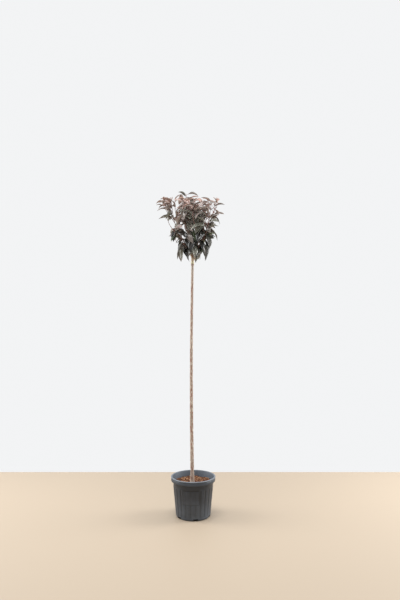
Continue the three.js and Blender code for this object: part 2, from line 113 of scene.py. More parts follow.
# ---- Small helpers ----

def lerp(a, b, t):
    return a + (b - a) * t


def smooth(low, high, value):
    """0 below low, 1 above high, with an eased rise between them."""
    t = np.clip((value - low) / (high - low), 0.0, 1.0)
    return t * t * (3 - 2 * t)


def polar(turn, radius=1.0):
    return radius * math.cos(turn), radius * math.sin(turn)


def linear(code):
    """An sRGB hex colour as linear RGBA."""
    parts = [int(code[i:i + 2], 16) / 255 for i in (1, 3, 5)]
    return [c / 12.92 if c <= 0.04045 else ((c + 0.055) / 1.055) ** 2.4 for c in parts] + [1.0]


def add(tree, kind, settings=None, inputs=None):
    """Adds a node. Each input, by name or number, is set to a value, or linked where a socket is given."""
    node = tree.nodes.new(kind)
    for name, value in (settings or {}).items():
        setattr(node, name, value)
    for name, value in (inputs or {}).items():
        socket = node.inputs[name]
        if isinstance(value, bpy.types.NodeSocket):
            tree.links.new(value, socket)
        else:
            socket.default_value = value
    return node


def new_material(name):
    material = bpy.data.materials.new(name)
    material.use_nodes = True
    material.node_tree.nodes.clear()
    return material, material.node_tree


def finish_material(tree, inputs):
    shader = add(tree, "ShaderNodeBsdfPrincipled", None, inputs)
    add(tree, "ShaderNodeOutputMaterial", None, {"Surface": shader.outputs[0]})


def plain(name, code, roughness, specular=0.5):
    """A material of one colour all over."""
    material, tree = new_material(name)
    finish_material(tree, {"Base Color": linear(code), "Roughness": roughness, "Specular IOR Level": specular})
    return material


def patterned_material(name, patterns, marks=()):
    """An empty material, with the values that its looks can follow by name.

    They are the height, the marks that a mesh carries on its points, and noise patterns, from rows of name, width
    and height of a feature in millimetres, detail and roughness.
    """
    material, tree = new_material(name)
    place = add(tree, "ShaderNodeTexCoord").outputs["Object"]
    values = {"height": add(tree, "ShaderNodeSeparateXYZ", None, {"Vector": place}).outputs["Z"]}
    for mark in marks:
        values[mark] = add(tree, "ShaderNodeAttribute", {"attribute_name": mark}).outputs["Fac"]
    for pattern, width, height, detail, roughness in patterns:
        scale = [1 / (size * MM) for size in (width, width, height)]
        spots = add(tree, "ShaderNodeMapping", None, {"Vector": place, "Scale": scale}).outputs[0]
        values[pattern] = add(tree, "ShaderNodeTexNoise", None, {
            "Vector": spots, "Scale": 1, "Detail": detail, "Roughness": roughness,
        }).outputs[0]
    return material, tree, values


def span(value, low, high, to_low=0, to_high=1):
    """The inputs of an eased rise from one number to another while a value goes from low to high."""
    return {"Value": value, "From Min": low, "From Max": high, "To Min": to_low, "To Max": to_high}


def tinted(tree, colour, tints):
    """Lays tints over a colour. Each shows where its value has risen from low to high, up to its share."""
    for value, low, high, share, code in tints:
        shown = add(tree, "ShaderNodeMapRange", EASED, span(value, low, high, 0, share)).outputs[0]
        colour = add(tree, "ShaderNodeMix", COLOURS, {0: shown, 6: colour, 7: linear(code)}).outputs[2]
    return colour


def placed(name, data):
    """A new object in the scene."""
    made = bpy.data.objects.new(name, data)
    bpy.context.scene.collection.objects.link(made)
    return made


def make_object(name, mesh, materials, body="root"):
    for material in materials:
        mesh.materials.append(material)
    piece = placed(name, mesh)
    if body:
        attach(piece, body)
    return piece


def mesh_of(name, bm, smooth_faces=True):
    """Turns a bmesh in millimetres into a mesh in metres."""
    for vert in bm.verts:
        vert.co *= MM
    for face in bm.faces:
        face.smooth = smooth_faces
    mesh = bpy.data.meshes.new(name)
    bm.to_mesh(mesh)
    bm.free()
    return mesh


class Heap:
    """Small shapes gathered into one mesh: points in millimetres, four-cornered faces and their materials."""

    def __init__(self):
        self.points, self.faces, self.coats, self.count = [], [], [], 0

    def lay(self, points, faces, coats):
        self.points.append(points)
        self.faces.append(faces + self.count)
        self.coats.append(np.broadcast_to(coats, len(faces)))
        self.count += len(points)

    def piece(self, name, materials, smooth_faces=True):
        points, faces, coats = (np.concatenate(rows) for rows in (self.points, self.faces, self.coats))
        mesh = bpy.data.meshes.new(name)
        mesh.from_pydata(points * MM, [], faces, shade_flat=not smooth_faces)
        mesh.polygons.foreach_set("material_index", coats.astype(np.int32))
        return make_object(name, mesh, materials)


# ---- Camera, floor and light ----

# The eye is 1.27 m up and 3.6 m in front, a little to the right, looking slightly upwards.
EYE = Vector((0.045, -3.575, 1.274))
EYE_PITCH = 2.45
LENS = 31.86

camera_data = bpy.data.cameras.new("camera")
camera_data.lens = LENS
camera_data.sensor_width = 36
camera = placed("camera", camera_data)
camera.location = EYE
camera.rotation_euler = (math.radians(90 + EYE_PITCH), 0, 0)
bpy.context.scene.camera = camera
bpy.context.scene.view_settings.view_transform = "Standard"

FLOOR_HALF_WIDTH, FLOOR_HALF_DEPTH, FLOOR_BACK, FLOOR_DROP = 3200, 2100, 1020, 0.4
LIGHTS = (  # name, place, size, power in watts, aim
    ("soft_left", (-2.7, 0.3, 2.0), (1.4, 2.4), 62, (0, 0, 1.1)),
    ("soft_right", (2.7, 0.5, 1.9), (1.4, 2.4), 72, (0, 0, 1.0)),
    ("soft_top", (-0.4, -0.9, 4.4), (1.8, 1.8), 84, (0, 0, 1.5)),
)


def make_floor():
    """A plain pale floor, matt enough to show only a soft shadow."""
    bm = bmesh.new()
    bmesh.ops.create_grid(bm, x_segments=1, y_segments=1, size=1)
    bmesh.ops.scale(bm, vec=(FLOOR_HALF_WIDTH, FLOOR_HALF_DEPTH, 1), verts=bm.verts)
    bmesh.ops.translate(bm, vec=(0, FLOOR_BACK - FLOOR_HALF_DEPTH, -FLOOR_DROP), verts=bm.verts)
    floor = make_object("floor", mesh_of("floor", bm, False), [plain("matt_floor", "#b5a591", 0.6)], None)


def make_light(name, place, size, power, aim):
    data = bpy.data.lights.new(name, "AREA")
    data.shape = "RECTANGLE"
    data.size, data.size_y = size
    data.energy = power
    light = placed(name, data)
    light.location = place
    light.rotation_euler = (Vector(aim) - Vector(place)).to_track_quat("-Z", "Y").to_euler()


def make_world():
    """A pale room, brightest behind the plant and dimmer on the viewer's side."""
    world = bpy.data.worlds.new("pale_room")
    bpy.context.scene.world = world
    world.use_nodes = True
    tree = world.node_tree
    room = tree.nodes["Background"]
    room.inputs["Color"].default_value = linear("#f6f7f8")
    way = add(tree, "ShaderNodeTexCoord").outputs["Generated"]
    back = add(tree, "ShaderNodeSeparateXYZ", None, {"Vector": way}).outputs["Y"]
    glow = add(tree, "ShaderNodeMapRange", EASED, span(back, -0.6, 0.6, 0.66, 0.97)).outputs[0]
    tree.links.new(glow, room.inputs["Strength"])


make_floor()
for light in LIGHTS:
    make_light(*light)
make_world()


# ---- Pot ----

def wall_radius(z):
    return lerp(BASE_RADIUS, NECK_RADIUS, z / POT_HEIGHT)


def arc_points(centre, radius, start, end, count):
    """Points of an arc, with angles in degrees from the outward direction."""
    turns = np.radians(np.linspace(start, end, count))
    return [(centre[0] + x, centre[1] + y) for x, y in (polar(turn, radius) for turn in turns)]


def refined(profile, spacing):
    """A profile with its long steps cut into short ones."""
    out = [profile[0]]
    for a, b in zip(profile, profile[1:]):
        count = max(1, math.ceil(math.dist(a, b) / spacing))
        out += [(lerp(a[0], b[0], i / count), lerp(a[1], b[1], i / count)) for i in range(1, count + 1)]
    return out


def turned(profile, steps):
    """A profile of (radius, height) points spun into a closed body that faces out."""
    bm = bmesh.new()
    points = [bm.verts.new((radius, 0, z)) for radius, z in profile]
    edges = [bm.edges.new(pair) for pair in zip(points, points[1:])]
    bmesh.ops.spin(bm, geom=points + edges, cent=(0, 0, 0), axis=(0, 0, 1), angle=math.tau,
                   steps=steps, use_merge=True)
    bmesh.ops.remove_doubles(bm, verts=bm.verts, dist=1e-4)
    bmesh.ops.recalc_face_normals(bm, faces=bm.faces)
    return bm


def pot_profile():
    """The pot's section from the middle of its underside, over the collar and its bead, to the inner floor."""
    shoulder = RIM_FOOT - RIM_SHOULDER
    corner = wall_radius(CORNER_RADIUS) - CORNER_RADIUS
    foot = [(0, 0), (corner, 0)] + arc_points((corner, CORNER_RADIUS), CORNER_RADIUS, -75, 0, 6)
    outside = refined([foot[-1], (wall_radius(shoulder), shoulder)], 3)[1:]
    collar = RIM_RADIUS - COLLAR_INSET
    rim = [(wall_radius(shoulder) + 4, shoulder + 2.2), (collar - 3, RIM_FOOT - 2.4)]
    rim += arc_points((collar - 3, RIM_FOOT + 0.6), 3, -60, 0, 4)
    bead = (RIM_RADIUS - BEAD_RADIUS, POT_HEIGHT - BEAD_RADIUS)
    groove = bead[1] - BEAD_RADIUS
    rim += [(collar, groove - 5), (collar - 0.6, groove - 4), (RIM_RADIUS - COLLAR_GROOVE, groove - 1.5)]
    rim += arc_points(bead, BEAD_RADIUS, -55, 90, 9)
    inner = NECK_RADIUS - WALL + 3
    rim += arc_points((inner + 1.5, POT_HEIGHT - 1.5), 1.5, 90, 180, 4)
    inside = [(wall_radius(RIM_FOOT) - WALL, RIM_FOOT), (wall_radius(FLOOR_THICKNESS) - WALL, FLOOR_THICKNESS)]
    return foot + outside + rim + refined([rim[-1], *inside, (0, FLOOR_THICKNESS)], 12)[1:]


def pot_relief(turn, z):
    """How far the wall is sunk at an azimuth in degrees and a height, and how much painted shade it gets there:
    in the rib grooves, along the panel's line and in the band under the collar.
    """
    wave = abs((turn * RIB_COUNT / 360) % 1 - 0.5) * 2
    groove = 1 - smooth(0.22, 0.5, wave)
    run = smooth(RIB_FOOT - 6, RIB_FOOT + 4, z) * (1 - smooth(RIB_TOP - 3, RIB_TOP + 1, z))
    groove *= run
    offset = (turn - PANEL_AZIMUTH + 180) % 360 - 180
    across = abs(math.radians(offset) * wall_radius(z)) - PANEL_WIDTH / 2
    up = abs(z - (PANEL_FOOT + PANEL_TOP) / 2) - (PANEL_TOP - PANEL_FOOT) / 2
    edge = max(across, up)
    groove *= lerp(PANEL_RIBS, 1, smooth(-PANEL_LINE, 0, edge))
    line = 1 - smooth(PANEL_LINE * 0.45, PANEL_LINE, abs(edge))
    # The band under the collar is sunk, and is given painted shade as the collar shades it
    above = smooth(RIB_TOP - 2, RIB_TOP + 2, z)
    sunk = max(RIB_DEPTH * groove, PANEL_SINK * line, RIB_DEPTH * 0.6 * above)
    return -sunk, max(groove * 0.7, line, above * 0.45)


def moulded_plastic():
    """Moulded polypropylene: charcoal and satin, clouded, with long flow streaks, scuffs and a fine mould grain.

    It has painted shade in its rib grooves, along the panel's line and in the band under the collar. It is paler
    inside, dusty low down, lighter on its collar as a painted highlight, and pale on its bead, partly worn and partly
    a painted highlight. The real grain is finer, and is drawn 1.1 mm wide so that it shows.
    """
    material, tree, seen = patterned_material("moulded_polypropylene", (
        ("clouds", 71.43, 71.43, 4, 0.6), ("streaks", 16.667, 200, 3, 0.6), ("scuffs", 18.182, 30.303, 5, 0.7),
        ("mould_grain", 1.1111, 1.1111, 2, 0.6),
    ), POT_MARKS)
    colour = tinted(tree, linear("#2a2f37"), (
        (seen["clouds"], 0.35, 0.7, 1, "#343a43"),
        (seen["streaks"], 0.55, 0.85, 0.3, "#4a5159"),
        # Painted shade in the rib grooves, on the panel's line and in the band under the collar
        (seen["groove"], 0, 1, 0.85, "#0e1115"),
        # Paler on the inside of the wall and the rim
        (seen["inner"], 0, 1, 0.8, "#6d7680"),
        # Painted highlight: the collar is lighter, and the bead pale, partly from wear and partly as a painted
        # highlight
        (seen["height"], (RIM_FOOT - 3) * MM, (RIM_FOOT + 2) * MM, 0.3, "#4f565e"),
        (seen["height"], (POT_HEIGHT - 6.5) * MM, (POT_HEIGHT - 4.5) * MM, 1, "#6b727b"),
        (seen["scuffs"], 0.7, 0.76, 0.6, "#7d8084"),
    ))
    low = add(tree, "ShaderNodeMapRange", EASED, span(seen["height"], DUST_HEIGHT * MM, 0, 0, 0.75)).outputs[0]
    dust = add(tree, "ShaderNodeMath", {"operation": "MULTIPLY"}, {0: low, 1: seen["clouds"]}).outputs[0]
    finish_material(tree, {
        "Base Color": add(tree, "ShaderNodeMix", COLOURS, {0: dust, 6: colour, 7: linear("#666e77")}).outputs[2],
        "Roughness": add(tree, "ShaderNodeMapRange", EASED, span(seen["clouds"], 0.2, 0.8, 0.34, 0.5)).outputs[0],
        "Normal": add(tree, "ShaderNodeBump", None, {
            "Height": seen["mould_grain"], "Distance": 0.12 * MM, "Strength": 0.4,
        }).outputs[0],
    })
    return material


def make_pot():
    """The pot with its relief, its drain notches cut out and its tints marked on its points."""
    bm = turned(pot_profile(), POT_STEPS)
    groove_shade, inner = [bm.verts.layers.float.new(mark) for mark in POT_MARKS]
    for vert in bm.verts:
        radius = math.hypot(vert.co.x, vert.co.y)
        z = vert.co.z
        mid_wall = wall_radius(z) - WALL / 2
        vert[inner] = float(z > SOIL_LEVEL / 2 and radius < (RIM_RADIUS - 8 if z > RIM_FOOT else mid_wall))
        # Relief, and the painted shade of the grooves, the panel's line and the band under the collar
        if RIB_FOOT - 8 < z < RIM_FOOT - RIM_SHOULDER + 0.1 and radius > mid_wall:
            lift, vert[groove_shade] = pot_relief(math.degrees(math.atan2(vert.co.y, vert.co.x)), z)
            vert.co.x *= (radius + lift) / radius
            vert.co.y *= (radius + lift) / radius
    mesh = mesh_of("pot_body", bm)
    bm = bmesh.new()
    for i in range(NOTCH_COUNT):
        made = bmesh.ops.create_cube(bm, size=1)["verts"]
        bmesh.ops.scale(bm, vec=(RIM_RADIUS, NOTCH_WIDTH, NOTCH_HEIGHT * 2), verts=made)
        bmesh.ops.translate(bm, vec=(NOTCH_INNER + RIM_RADIUS / 2, 0, 0), verts=made)
        turn = math.radians(NOTCH_AZIMUTH + i * 360 / NOTCH_COUNT)
        bmesh.ops.rotate(bm, verts=made, cent=(0, 0, 0), matrix=Matrix.Rotation(turn, 3, "Z"))
    for face in bm.faces:
        face.material_index = 1
    # The notches' cut faces: painted shade, a rough plastic nearly black, as they lie in shade
    coats = [moulded_plastic(), plain("shaded_plastic", "#0b0b0c", 0.7, 0.2)]
    cutter = make_object("notch_cutter", mesh_of("notch_cutter", bm, False), coats, None)
    whole = make_object("whole_pot", mesh, coats, None)
    cut = whole.modifiers.new("notches", "BOOLEAN")
    cut.operation = "DIFFERENCE"
    cut.object = cutter
    shown = whole.evaluated_get(bpy.context.evaluated_depsgraph_get())
    cut_mesh = bpy.data.meshes.new_from_object(shown)
    bpy.data.objects.remove(whole)
    bpy.data.objects.remove(cutter)
    pot = make_object("pot_body", cut_mesh, [])
    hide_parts("pot")


# ---- Potting mix ----

def soil_height(x, y):
    """The lumpy surface of the mix, level near the stem."""
    radius = math.hypot(x, y)
    bump = noise.noise(Vector((x / 34, y / 34, 5))) * 4 + noise.noise(Vector((x / 11, y / 11, 9))) * 1.6
    return SOIL_LEVEL + bump * smooth(16, 45, radius)


def make_soil():
    """The potting mix: a turned body as wide as the pot's inside, with a lumpy top."""
    side = wall_radius(SOIL_LEVEL) - WALL - SOIL_GAP
    foot = FLOOR_THICKNESS + SOIL_GAP
    foot_side = wall_radius(foot) - WALL - SOIL_GAP
    bm = turned([(0, foot), (foot_side, foot)] + refined([(side, SOIL_LEVEL), (0, SOIL_LEVEL)], 4), 96)
    for vert in bm.verts:
        if vert.co.z > SOIL_LEVEL - 1:
            vert.co.z = soil_height(vert.co.x, vert.co.y) - 1.5
    # Damp peat and bark crumbs of about 6 mm: matt and brown on top, and nearly black deep down, partly damper
    #     there and partly painted shade where the drain notches show it
    material, tree, seen = patterned_material("damp_potting_mix", [("crumbs", 6.25, 6.25, 5, 0.6)])
    finish_material(tree, {
        "Base Color": tinted(tree, linear("#2c1a12"), (
            (seen["crumbs"], 0.35, 0.7, 1, "#5a3826"), (seen["height"], 160 * MM, 40 * MM, 1, "#070504"),
        )),
        "Roughness": 0.95,
        "Normal": add(tree, "ShaderNodeBump", None, {"Height": seen["crumbs"], "Distance": 2.5 * MM}).outputs[0],
    })
    soil = make_object("potting_mix", mesh_of("potting_mix", bm), [material])
    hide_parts("soil")


def make_chips():
    """Bark and coconut chips, 4 to 15 mm long, lying at all angles on the mix."""
    rng = np.random.RandomState(5)
    corners = np.array([[x, y, z] for x in (-1, 1) for y in (-1, 1) for z in (-1, 1)], float)
    sides = np.array([[0, 1, 3, 2], [4, 6, 7, 5], [0, 4, 5, 1], [2, 3, 7, 6], [0, 2, 6, 4], [1, 5, 7, 3]])
    reach = wall_radius(SOIL_LEVEL) - WALL - CHIP_GAP
    heap = Heap()
    for _ in range(CHIP_COUNT):
        radius = reach * math.sqrt(rng.rand())
        x, y = polar(rng.rand() * math.tau, radius)
        length = lerp(*CHIP_LENGTHS, rng.rand() ** 2)
        shape = corners * (length, length * rng.uniform(*CHIP_WIDTHS), rng.uniform(*CHIP_DEPTHS))
        shape[corners[:, 0] > 0, 1:] *= rng.uniform(*CHIP_TAPER)
        shape = shape + rng.uniform(-0.3, 0.3, shape.shape) * (length, length * 0.5, 1.2)
        spin, tip = rng.rand() * math.tau, rng.normal(0, CHIP_TILT)
        if math.hypot(x - FOOT_X, y) < FOOT_RADIUS + 8:
            continue
        laid = shape @ np.array(Matrix.Rotation(spin, 3, "Z") @ Matrix.Rotation(-tip, 3, "Y")).T
        height = soil_height(x, y) + rng.uniform(*CHIP_LIFT)
        coat = rng.choice(len(CHIP_COLOURS), p=[share for _, _, share in CHIP_COLOURS])
        heap.lay(laid + (x, y, height), sides, coat)
    chips = heap.piece("bark_chips", [plain(name, code, 0.9, 0.25) for name, code, _ in CHIP_COLOURS], False)


# ---- The growing rule: what decides the place of every limb, shoot and leaf ----

FOOT_X, HEAD_X, BOW_X, BOW_Y = -5.7, -4.3, -8, 5
FOOT_RADIUS, TOP_RADIUS = 12.8, 8.2
FLARE, FLARE_HEIGHT = 3.8, 20
GRAFT_HEIGHT, GRAFT_SWELL, GRAFT_LENGTH = 1672, 2.4, 15
HEAD_HEIGHT, HEAD_SWELL, HEAD_LENGTH = 1712, 1.6, 18

BOUGH_WOOD = 0.19
BOUGH_RADIUS, BOUGH_TIP_RADIUS = 4.9, 2.9
APART = 34
BOUGHS = (  # name, azimuth, height, lean, lean at the tip, length, side shoots, reach, set apart by
    ("left", 178, 1728, 44, 2, 390, 2, 1.43, APART),
    ("front_left", 236, 1706, 41, 4, 404, 2, 1, 0),
    ("front_right", 300, 1722, 42, 3, 386, 2, 1, 0),
    ("right", 352, 1694, 38, 2, 412, 2, 1.2, 0),
    ("back_right", 58, 1714, 43, 4, 394, 2, 1, 0),
    ("back_left", 120, 1700, 41, 3, 414, 2, 1, 0),
    ("top", 200, 1734, 13, 1, 416, 3, 1, 0),
)
SPRAYS = (  # name, azimuth, height, lean, lean at the tip, length
    ("low_left", 204, 1716, 40, 20, 146),
    ("low_front", 266, 1702, 38, 20, 150),
    ("low_right", 328, 1710, 40, 20, 146),
    ("low_back_right", 22, 1704, 38, 20, 150),
    ("low_back", 90, 1708, 38, 20, 150),
    ("low_back_left", 150, 1712, 40, 20, 146),
)
SPRAY_REACH = 1.16
FINE_SHOOTS = (  # mass, place on its line, azimuth, lean, lean at the tip, length, youth, droop
    ("top", 0.56, 322, 46, 14, 132, 0.45, 0.3),
    ("top", 0.66, 18, 44, 10, 112, 0.4, 0.3),
    ("front_right", 0.56, 150, 38, 6, 120, 0.45, 0.35),
    ("left", 0.64, 244, 62, 40, 158, 0.45, 0.65),
    ("left", 0.84, 222, 62, 40, 88, 0.4, 0.65),
    ("left", 0.92, 172, 36, 10, 52, 0.35, 0.4),
    ("back_left", 0.7, 150, 30, 4, 120, 0.4, 0.3),
    ("back_right", 0.66, 80, 32, 4, 130, 0.4, 0.3),
    ("right", 0.9, 350, 80, 80, 44, 0.35, 0.3),
    ("left", 0.32, 214, 66, 48, 46, 1, 0.7),
    ("right", 0.52, 338, 60, 40, 60, 0.85, 0.6),
    ("right", 0.34, 340, 64, 44, 60, 1, 0.7),
    ("back_left", 0.34, 120, 64, 44, 60, 1, 0.7),
    ("back_right", 0.34, 60, 64, 44, 60, 1, 0.7),
    ("low_left", 0.5, 236, 40, 24, 34, 0.5, 0.9),
    ("low_right", 0.5, 300, 50, 40, 36, 1, 0.85),
    ("low_back", 0.4, 98, 60, 44, 40, 1, 0.8),
    ("left", 0.12, 214, 60, 50, 20, 0.4, 0.9),
    ("left", 0.95, 110, 24, 14, 46, 0.12, 0.5),
)
SEED = 14
TWIG_STEP, LEAST_STEPS = 22, 4
SWAY_LEAN, SWAY_TURN = 5, 7
TWIG_RADIUS, TWIG_TIP_RADIUS = 2.6, 1.2
TWIG_ROOT = 4
FORK_FROM, FORK_TO = 0.38, 0.7
SIDE_LEAN, SIDE_TIP_LEAN, SIDE_LENGTH = 58, 12, 0.46
SIDE_LENGTH_SPREAD, SIDE_SHORTER, SIDE_THINNER, FINE_THINNER = 0.12, 0.25, 0.85, 0.65
SIDE_SWING, SIDE_SWING_SPREAD, SIDE_RETRY_TURN, SPRAY_RETRY_TURN = 70, 22, 25, 2
CROWDING, LAST_LEAF, AGEING, FULL_SIZE_AGE = 1.2, 0.995, 1.4, 0.8
LEAF_TURN, SHOOT_TURN, SPRAY_SWING = 144, 47, 25
LEAF_TURN_SPREAD, LEAF_RETRY_TURN, SPUR_SAG_SPREAD = 16, 14, 14
SIZE_SPREAD = 0.16
# Young, then old
LEAF_LENGTHS, LEAF_WIDTHS, PETIOLES = (70, 124), (0.4, 0.5), (14, 24)
FOLDS, TWISTS, ROLLS = (26, 15), (20, 48), (24, 58)
PETIOLE_RADIUS = 1
YOUNG_PITCH, YOUNG_DROOP = (70, 42, -10), 0.2
BASE_CURVE, TIP_CURVE, WIDEST_SHARE = 0.75, 1.15, 0.2795
SAMPLE_STATIONS = np.array([0.05, 0.2, 0.36, 0.52, 0.68, 0.84, 1])
SAMPLE_ACROSS, MIDDLE_SAMPLE = 0.8, 9
TRIES, SHRINK, INTERLEAVE = 18, 0.02, 34
LEAF_ROOM, OWN_ROOM, FAR_APART, OUTWARD_SHARE = 7, 7, 150, 0.6
CROWN_FOOT, CROWN_FOOT_RADIUS, WOOD_ROOM = 1690, 102, 1.1
CROWN_SHOULDER, CROWN_SHOULDER_RADIUS = 2060, 198
CROWN_TOP, CROWN_ROUNDNESS, SPRAY_CEILING = 2168, 2.4, 1862
CROWN_LEFT, CROWN_FRONT = -246, -206
USES = {"lean": 1, "heading": 2, "swing": 5, "length": 6, "retry": 7, "turn": 11, "size": 12, "sag": 13,
        "roll": 14, "tint": 21, "spur": 22, "wave": 23}

TALL = Record(first_leaf=0.03, internode=25, tip_age=0, old_pitch=(16, -34, -84), tip_over=3, sag_spread=16)
LOW = Record(first_leaf=0.4, internode=19, tip_age=0.8, old_pitch=(14, -40, -82), tip_over=-2, sag_spread=24)

# Spurs: the finer twigs, which bear the leaves between those of the main shoots
SPUR_SPACING, SPUR_FIRST, LOW_SPUR_FIRST, SPUR_LAST = 34, 0.06, 0.35, 0.92
SPUR_LENGTH, HIGH_SPUR_LENGTH, SPUR_LENGTH_SPREAD = 44, 60, 0.25
HIGH_SPURS, SPUR_STEP = (0.45, 0.8), 9
SPUR_LEAN, SPUR_TIP_LEAN, SPUR_TURN, SPUR_TURN_SPREAD, LOW_SPUR_SWING = 66, 30, 137.5, 25, 60
SPUR_RADIUS, SPUR_TIP_RADIUS = 1.3, 0.8
SPUR_LEAVES, OLD_SPUR_LEAVES, SPUR_TRIES, SPUR_LEAF = 3, 2, 9, 1.1
SPUR_ROOM, SPUR_DROOP, SPUR_CHANGE, TWIG_GAP = 6, 0.35, 0.55, 1
SHOOT_SHARE, OWN_SHARE, BEARING_FROM, BEARING_OVER = 0.8, 0.2, 0.45, 0.54

# Keys of the draws, set apart so that no two things share one
FINE_KEYS, FINE_STEP, SPUR_KEYS, SPUR_KEY_STEP = 600, 16, 1000, 40
KNOT_KEYS, STEM_PORES, BOUGH_PORES = (500, 501, 502), 610, 620

WORD = 0xFFFFFFFF


def draw(shoot, item, use):
    """A draw between 0 and 1 that depends only on what it is for."""
    h = ((shoot + 1) * 0x9E3779B1 & WORD) ^ ((item + 1) * 0x85EBCA6B & WORD)
    h ^= (USES[use] + SEED) * 0xC2B2AE35 & WORD
    h = (h ^ (h >> 15)) * 0x2C1B3C6D & WORD
    h = (h ^ (h >> 12)) * 0x297A2D39 & WORD
    return (h ^ (h >> 15)) / 4294967296


def spread(shoot, item, use, amount):
    return (draw(shoot, item, use) * 2 - 1) * amount


def stem_at(z):
    t = (z - SOIL_LEVEL) / (TRUNK_TOP - SOIL_LEVEL)
    bow = np.sin(np.pi * t)
    return np.stack([lerp(FOOT_X, HEAD_X, t) + BOW_X * bow, BOW_Y * bow, z + 0.0 * t], -1)


def stem_radius(z):
    t = max(0.0, (z - SOIL_LEVEL) / (TRUNK_TOP - SOIL_LEVEL))
    flare = FLARE * math.exp(-(z - SOIL_LEVEL) / FLARE_HEIGHT)
    graft = GRAFT_SWELL * math.exp(-(((z - GRAFT_HEIGHT) / GRAFT_LENGTH) ** 2))
    head = HEAD_SWELL * math.exp(-(((z - HEAD_HEIGHT) / HEAD_LENGTH) ** 2))
    return lerp(FOOT_RADIUS, TOP_RADIUS, t ** 0.75) + flare + graft + head


def shoot_line(start, azimuth, lean, tip_lean, length, shoot, step=TWIG_STEP):
    """A shoot leaves at a lean from the upright and turns towards its tip's lean, swaying a little."""
    steps = max(LEAST_STEPS, int(length / step + 0.5))
    points = [np.array(start, float)]
    heading = azimuth
    for i in range(steps):
        t = (i + 0.5) / steps
        tilt = math.radians(lerp(lean, tip_lean, t) + spread(shoot, i, "lean", SWAY_LEAN))
        heading += spread(shoot, i, "heading", SWAY_TURN)
        way = np.array([*polar(math.radians(heading), math.sin(tilt)), math.cos(tilt)])
        points.append(points[-1] + way * length / steps)
    return np.array(points)


def along(points, t):
    place = t * (len(points) - 1)
    i = min(int(place), len(points) - 2)
    return lerp(points[i], points[i + 1], place - i)


def cut_line(points, start, end):
    count = max(2, int((len(points) - 1) * (end - start) + 0.5))
    return np.array([along(points, lerp(start, end, i / count)) for i in range(count + 1)])


def blade_outline(u):
    u = np.clip(u, 0, 1)
    return u ** BASE_CURVE * (1 - u) ** TIP_CURVE / WIDEST_SHARE


def arc_end(length, start, end, share):
    """How far out and up an arc ends whose slope changes evenly along its length."""
    radius = length / (end - start)
    slope = lerp(start, end, share)
    return radius * (np.sin(slope) - np.sin(start)), radius * (np.cos(start) - np.cos(slope))


def leaf_places(leaf, places):
    """Centres, sideways and upward directions and half widths along a blade."""
    root, base, tip = leaf.pitch
    joint = arc_end(leaf.petiole, root, base, 1)
    blade = arc_end(leaf.blade, base, tip, places)
    out, up = joint[0] + blade[0], joint[1] + blade[1]
    slope = lerp(base, tip, places)
    ca, sa = polar(leaf.azimuth)
    centres = leaf.root + np.stack([out * ca, out * sa, up], 1)
    forward = np.stack([np.cos(slope) * ca, np.cos(slope) * sa, np.sin(slope)], 1)
    level = np.array([sa, -ca, 0.0])
    roll = leaf.roll * places[:, None] + leaf.twist * smooth(-0.1, 0.3, places)[:, None]
    side = level * np.cos(roll) + np.cross(forward, level) * np.sin(roll)
    upward = np.cross(side, forward)
    half = np.maximum(PETIOLE_RADIUS * (1 - places), leaf.width / 2 * blade_outline(places))
    return centres, side, upward, half


def outward_twist(leaf):
    """Stalks twist so that blades show their upper side outwards, away from the stem."""
    axis = stem_at(np.float64(leaf.root[2]))
    outward = math.atan2(leaf.root[1] - axis[1], leaf.root[0] - axis[0])
    return -math.sin(outward - leaf.azimuth) * math.radians(lerp(*TWISTS, leaf.age))


def leaf_samples(leaf):
    """Points on a leaf that stand for it when its room is tested."""
    centres, side, upward, half = leaf_places(leaf, SAMPLE_STATIONS)
    samples = []
    for i, centre in enumerate(centres):
        samples.append(centre)
        if SAMPLE_STATIONS[i] < 1:
            for across in (-SAMPLE_ACROSS, SAMPLE_ACROSS):
                wide = centre + side[i] * across * half[i] * math.cos(leaf.fold)
                samples.append(wide + upward[i] * abs(across) * half[i] * math.sin(leaf.fold))
    return np.array(samples)


def distances(spots, line):
    """The distance from each spot to the nearest point of a line of points."""
    a, way = line[:-1], line[1:] - line[:-1]
    rel = spots[:, None] - a
    t = np.clip((rel * way).sum(2) / (way * way).sum(1), 0, 1)
    gap = rel - t[..., None] * way
    return np.sqrt((gap * gap).sum(2)).min(1)


def crown_radius(z):
    low = lerp(CROWN_FOOT_RADIUS, CROWN_SHOULDER_RADIUS, (z - CROWN_FOOT) / (CROWN_SHOULDER - CROWN_FOOT))
    rise = np.clip((z - CROWN_SHOULDER) / (CROWN_TOP - CROWN_SHOULDER), 0, 1)
    high = CROWN_SHOULDER_RADIUS * np.sqrt(1 - rise ** CROWN_ROUNDNESS)
    return np.where(z < CROWN_SHOULDER, low, np.where(z < CROWN_TOP, high, 0))


class Growth:
    """All that has grown so far: lines of wood with their thickness, and leaves."""

    def __init__(self):
        self.wood = []
        self.leaves = []
        self.middles = np.zeros((0, 3))

    def keep_wood(self, line, radius, mass):
        self.wood.append((line, radius, mass))

    def keep_leaf(self, samples, mass):
        self.leaves.append((samples[1:], mass))
        self.middles = np.vstack([self.middles, samples[MIDDLE_SAMPLE]])

    def clear_of_wood(self, spots, radius, mass, own=False):
        for line, thick, owner in self.wood:
            if (owner is not mass or own) and distances(spots, line).min() < thick + radius:
                return False
        return True

    def has_room(self, samples, mass, own_room, other_room):
        near = np.flatnonzero(np.linalg.norm(self.middles - samples[MIDDLE_SAMPLE], axis=1) < FAR_APART)
        for i in near:
            others, owner = self.leaves[i]
            gap = np.linalg.norm(samples[1:, None] - others[None], axis=2).min()
            if gap < (own_room if owner is mass else other_room):
                return False
        return True


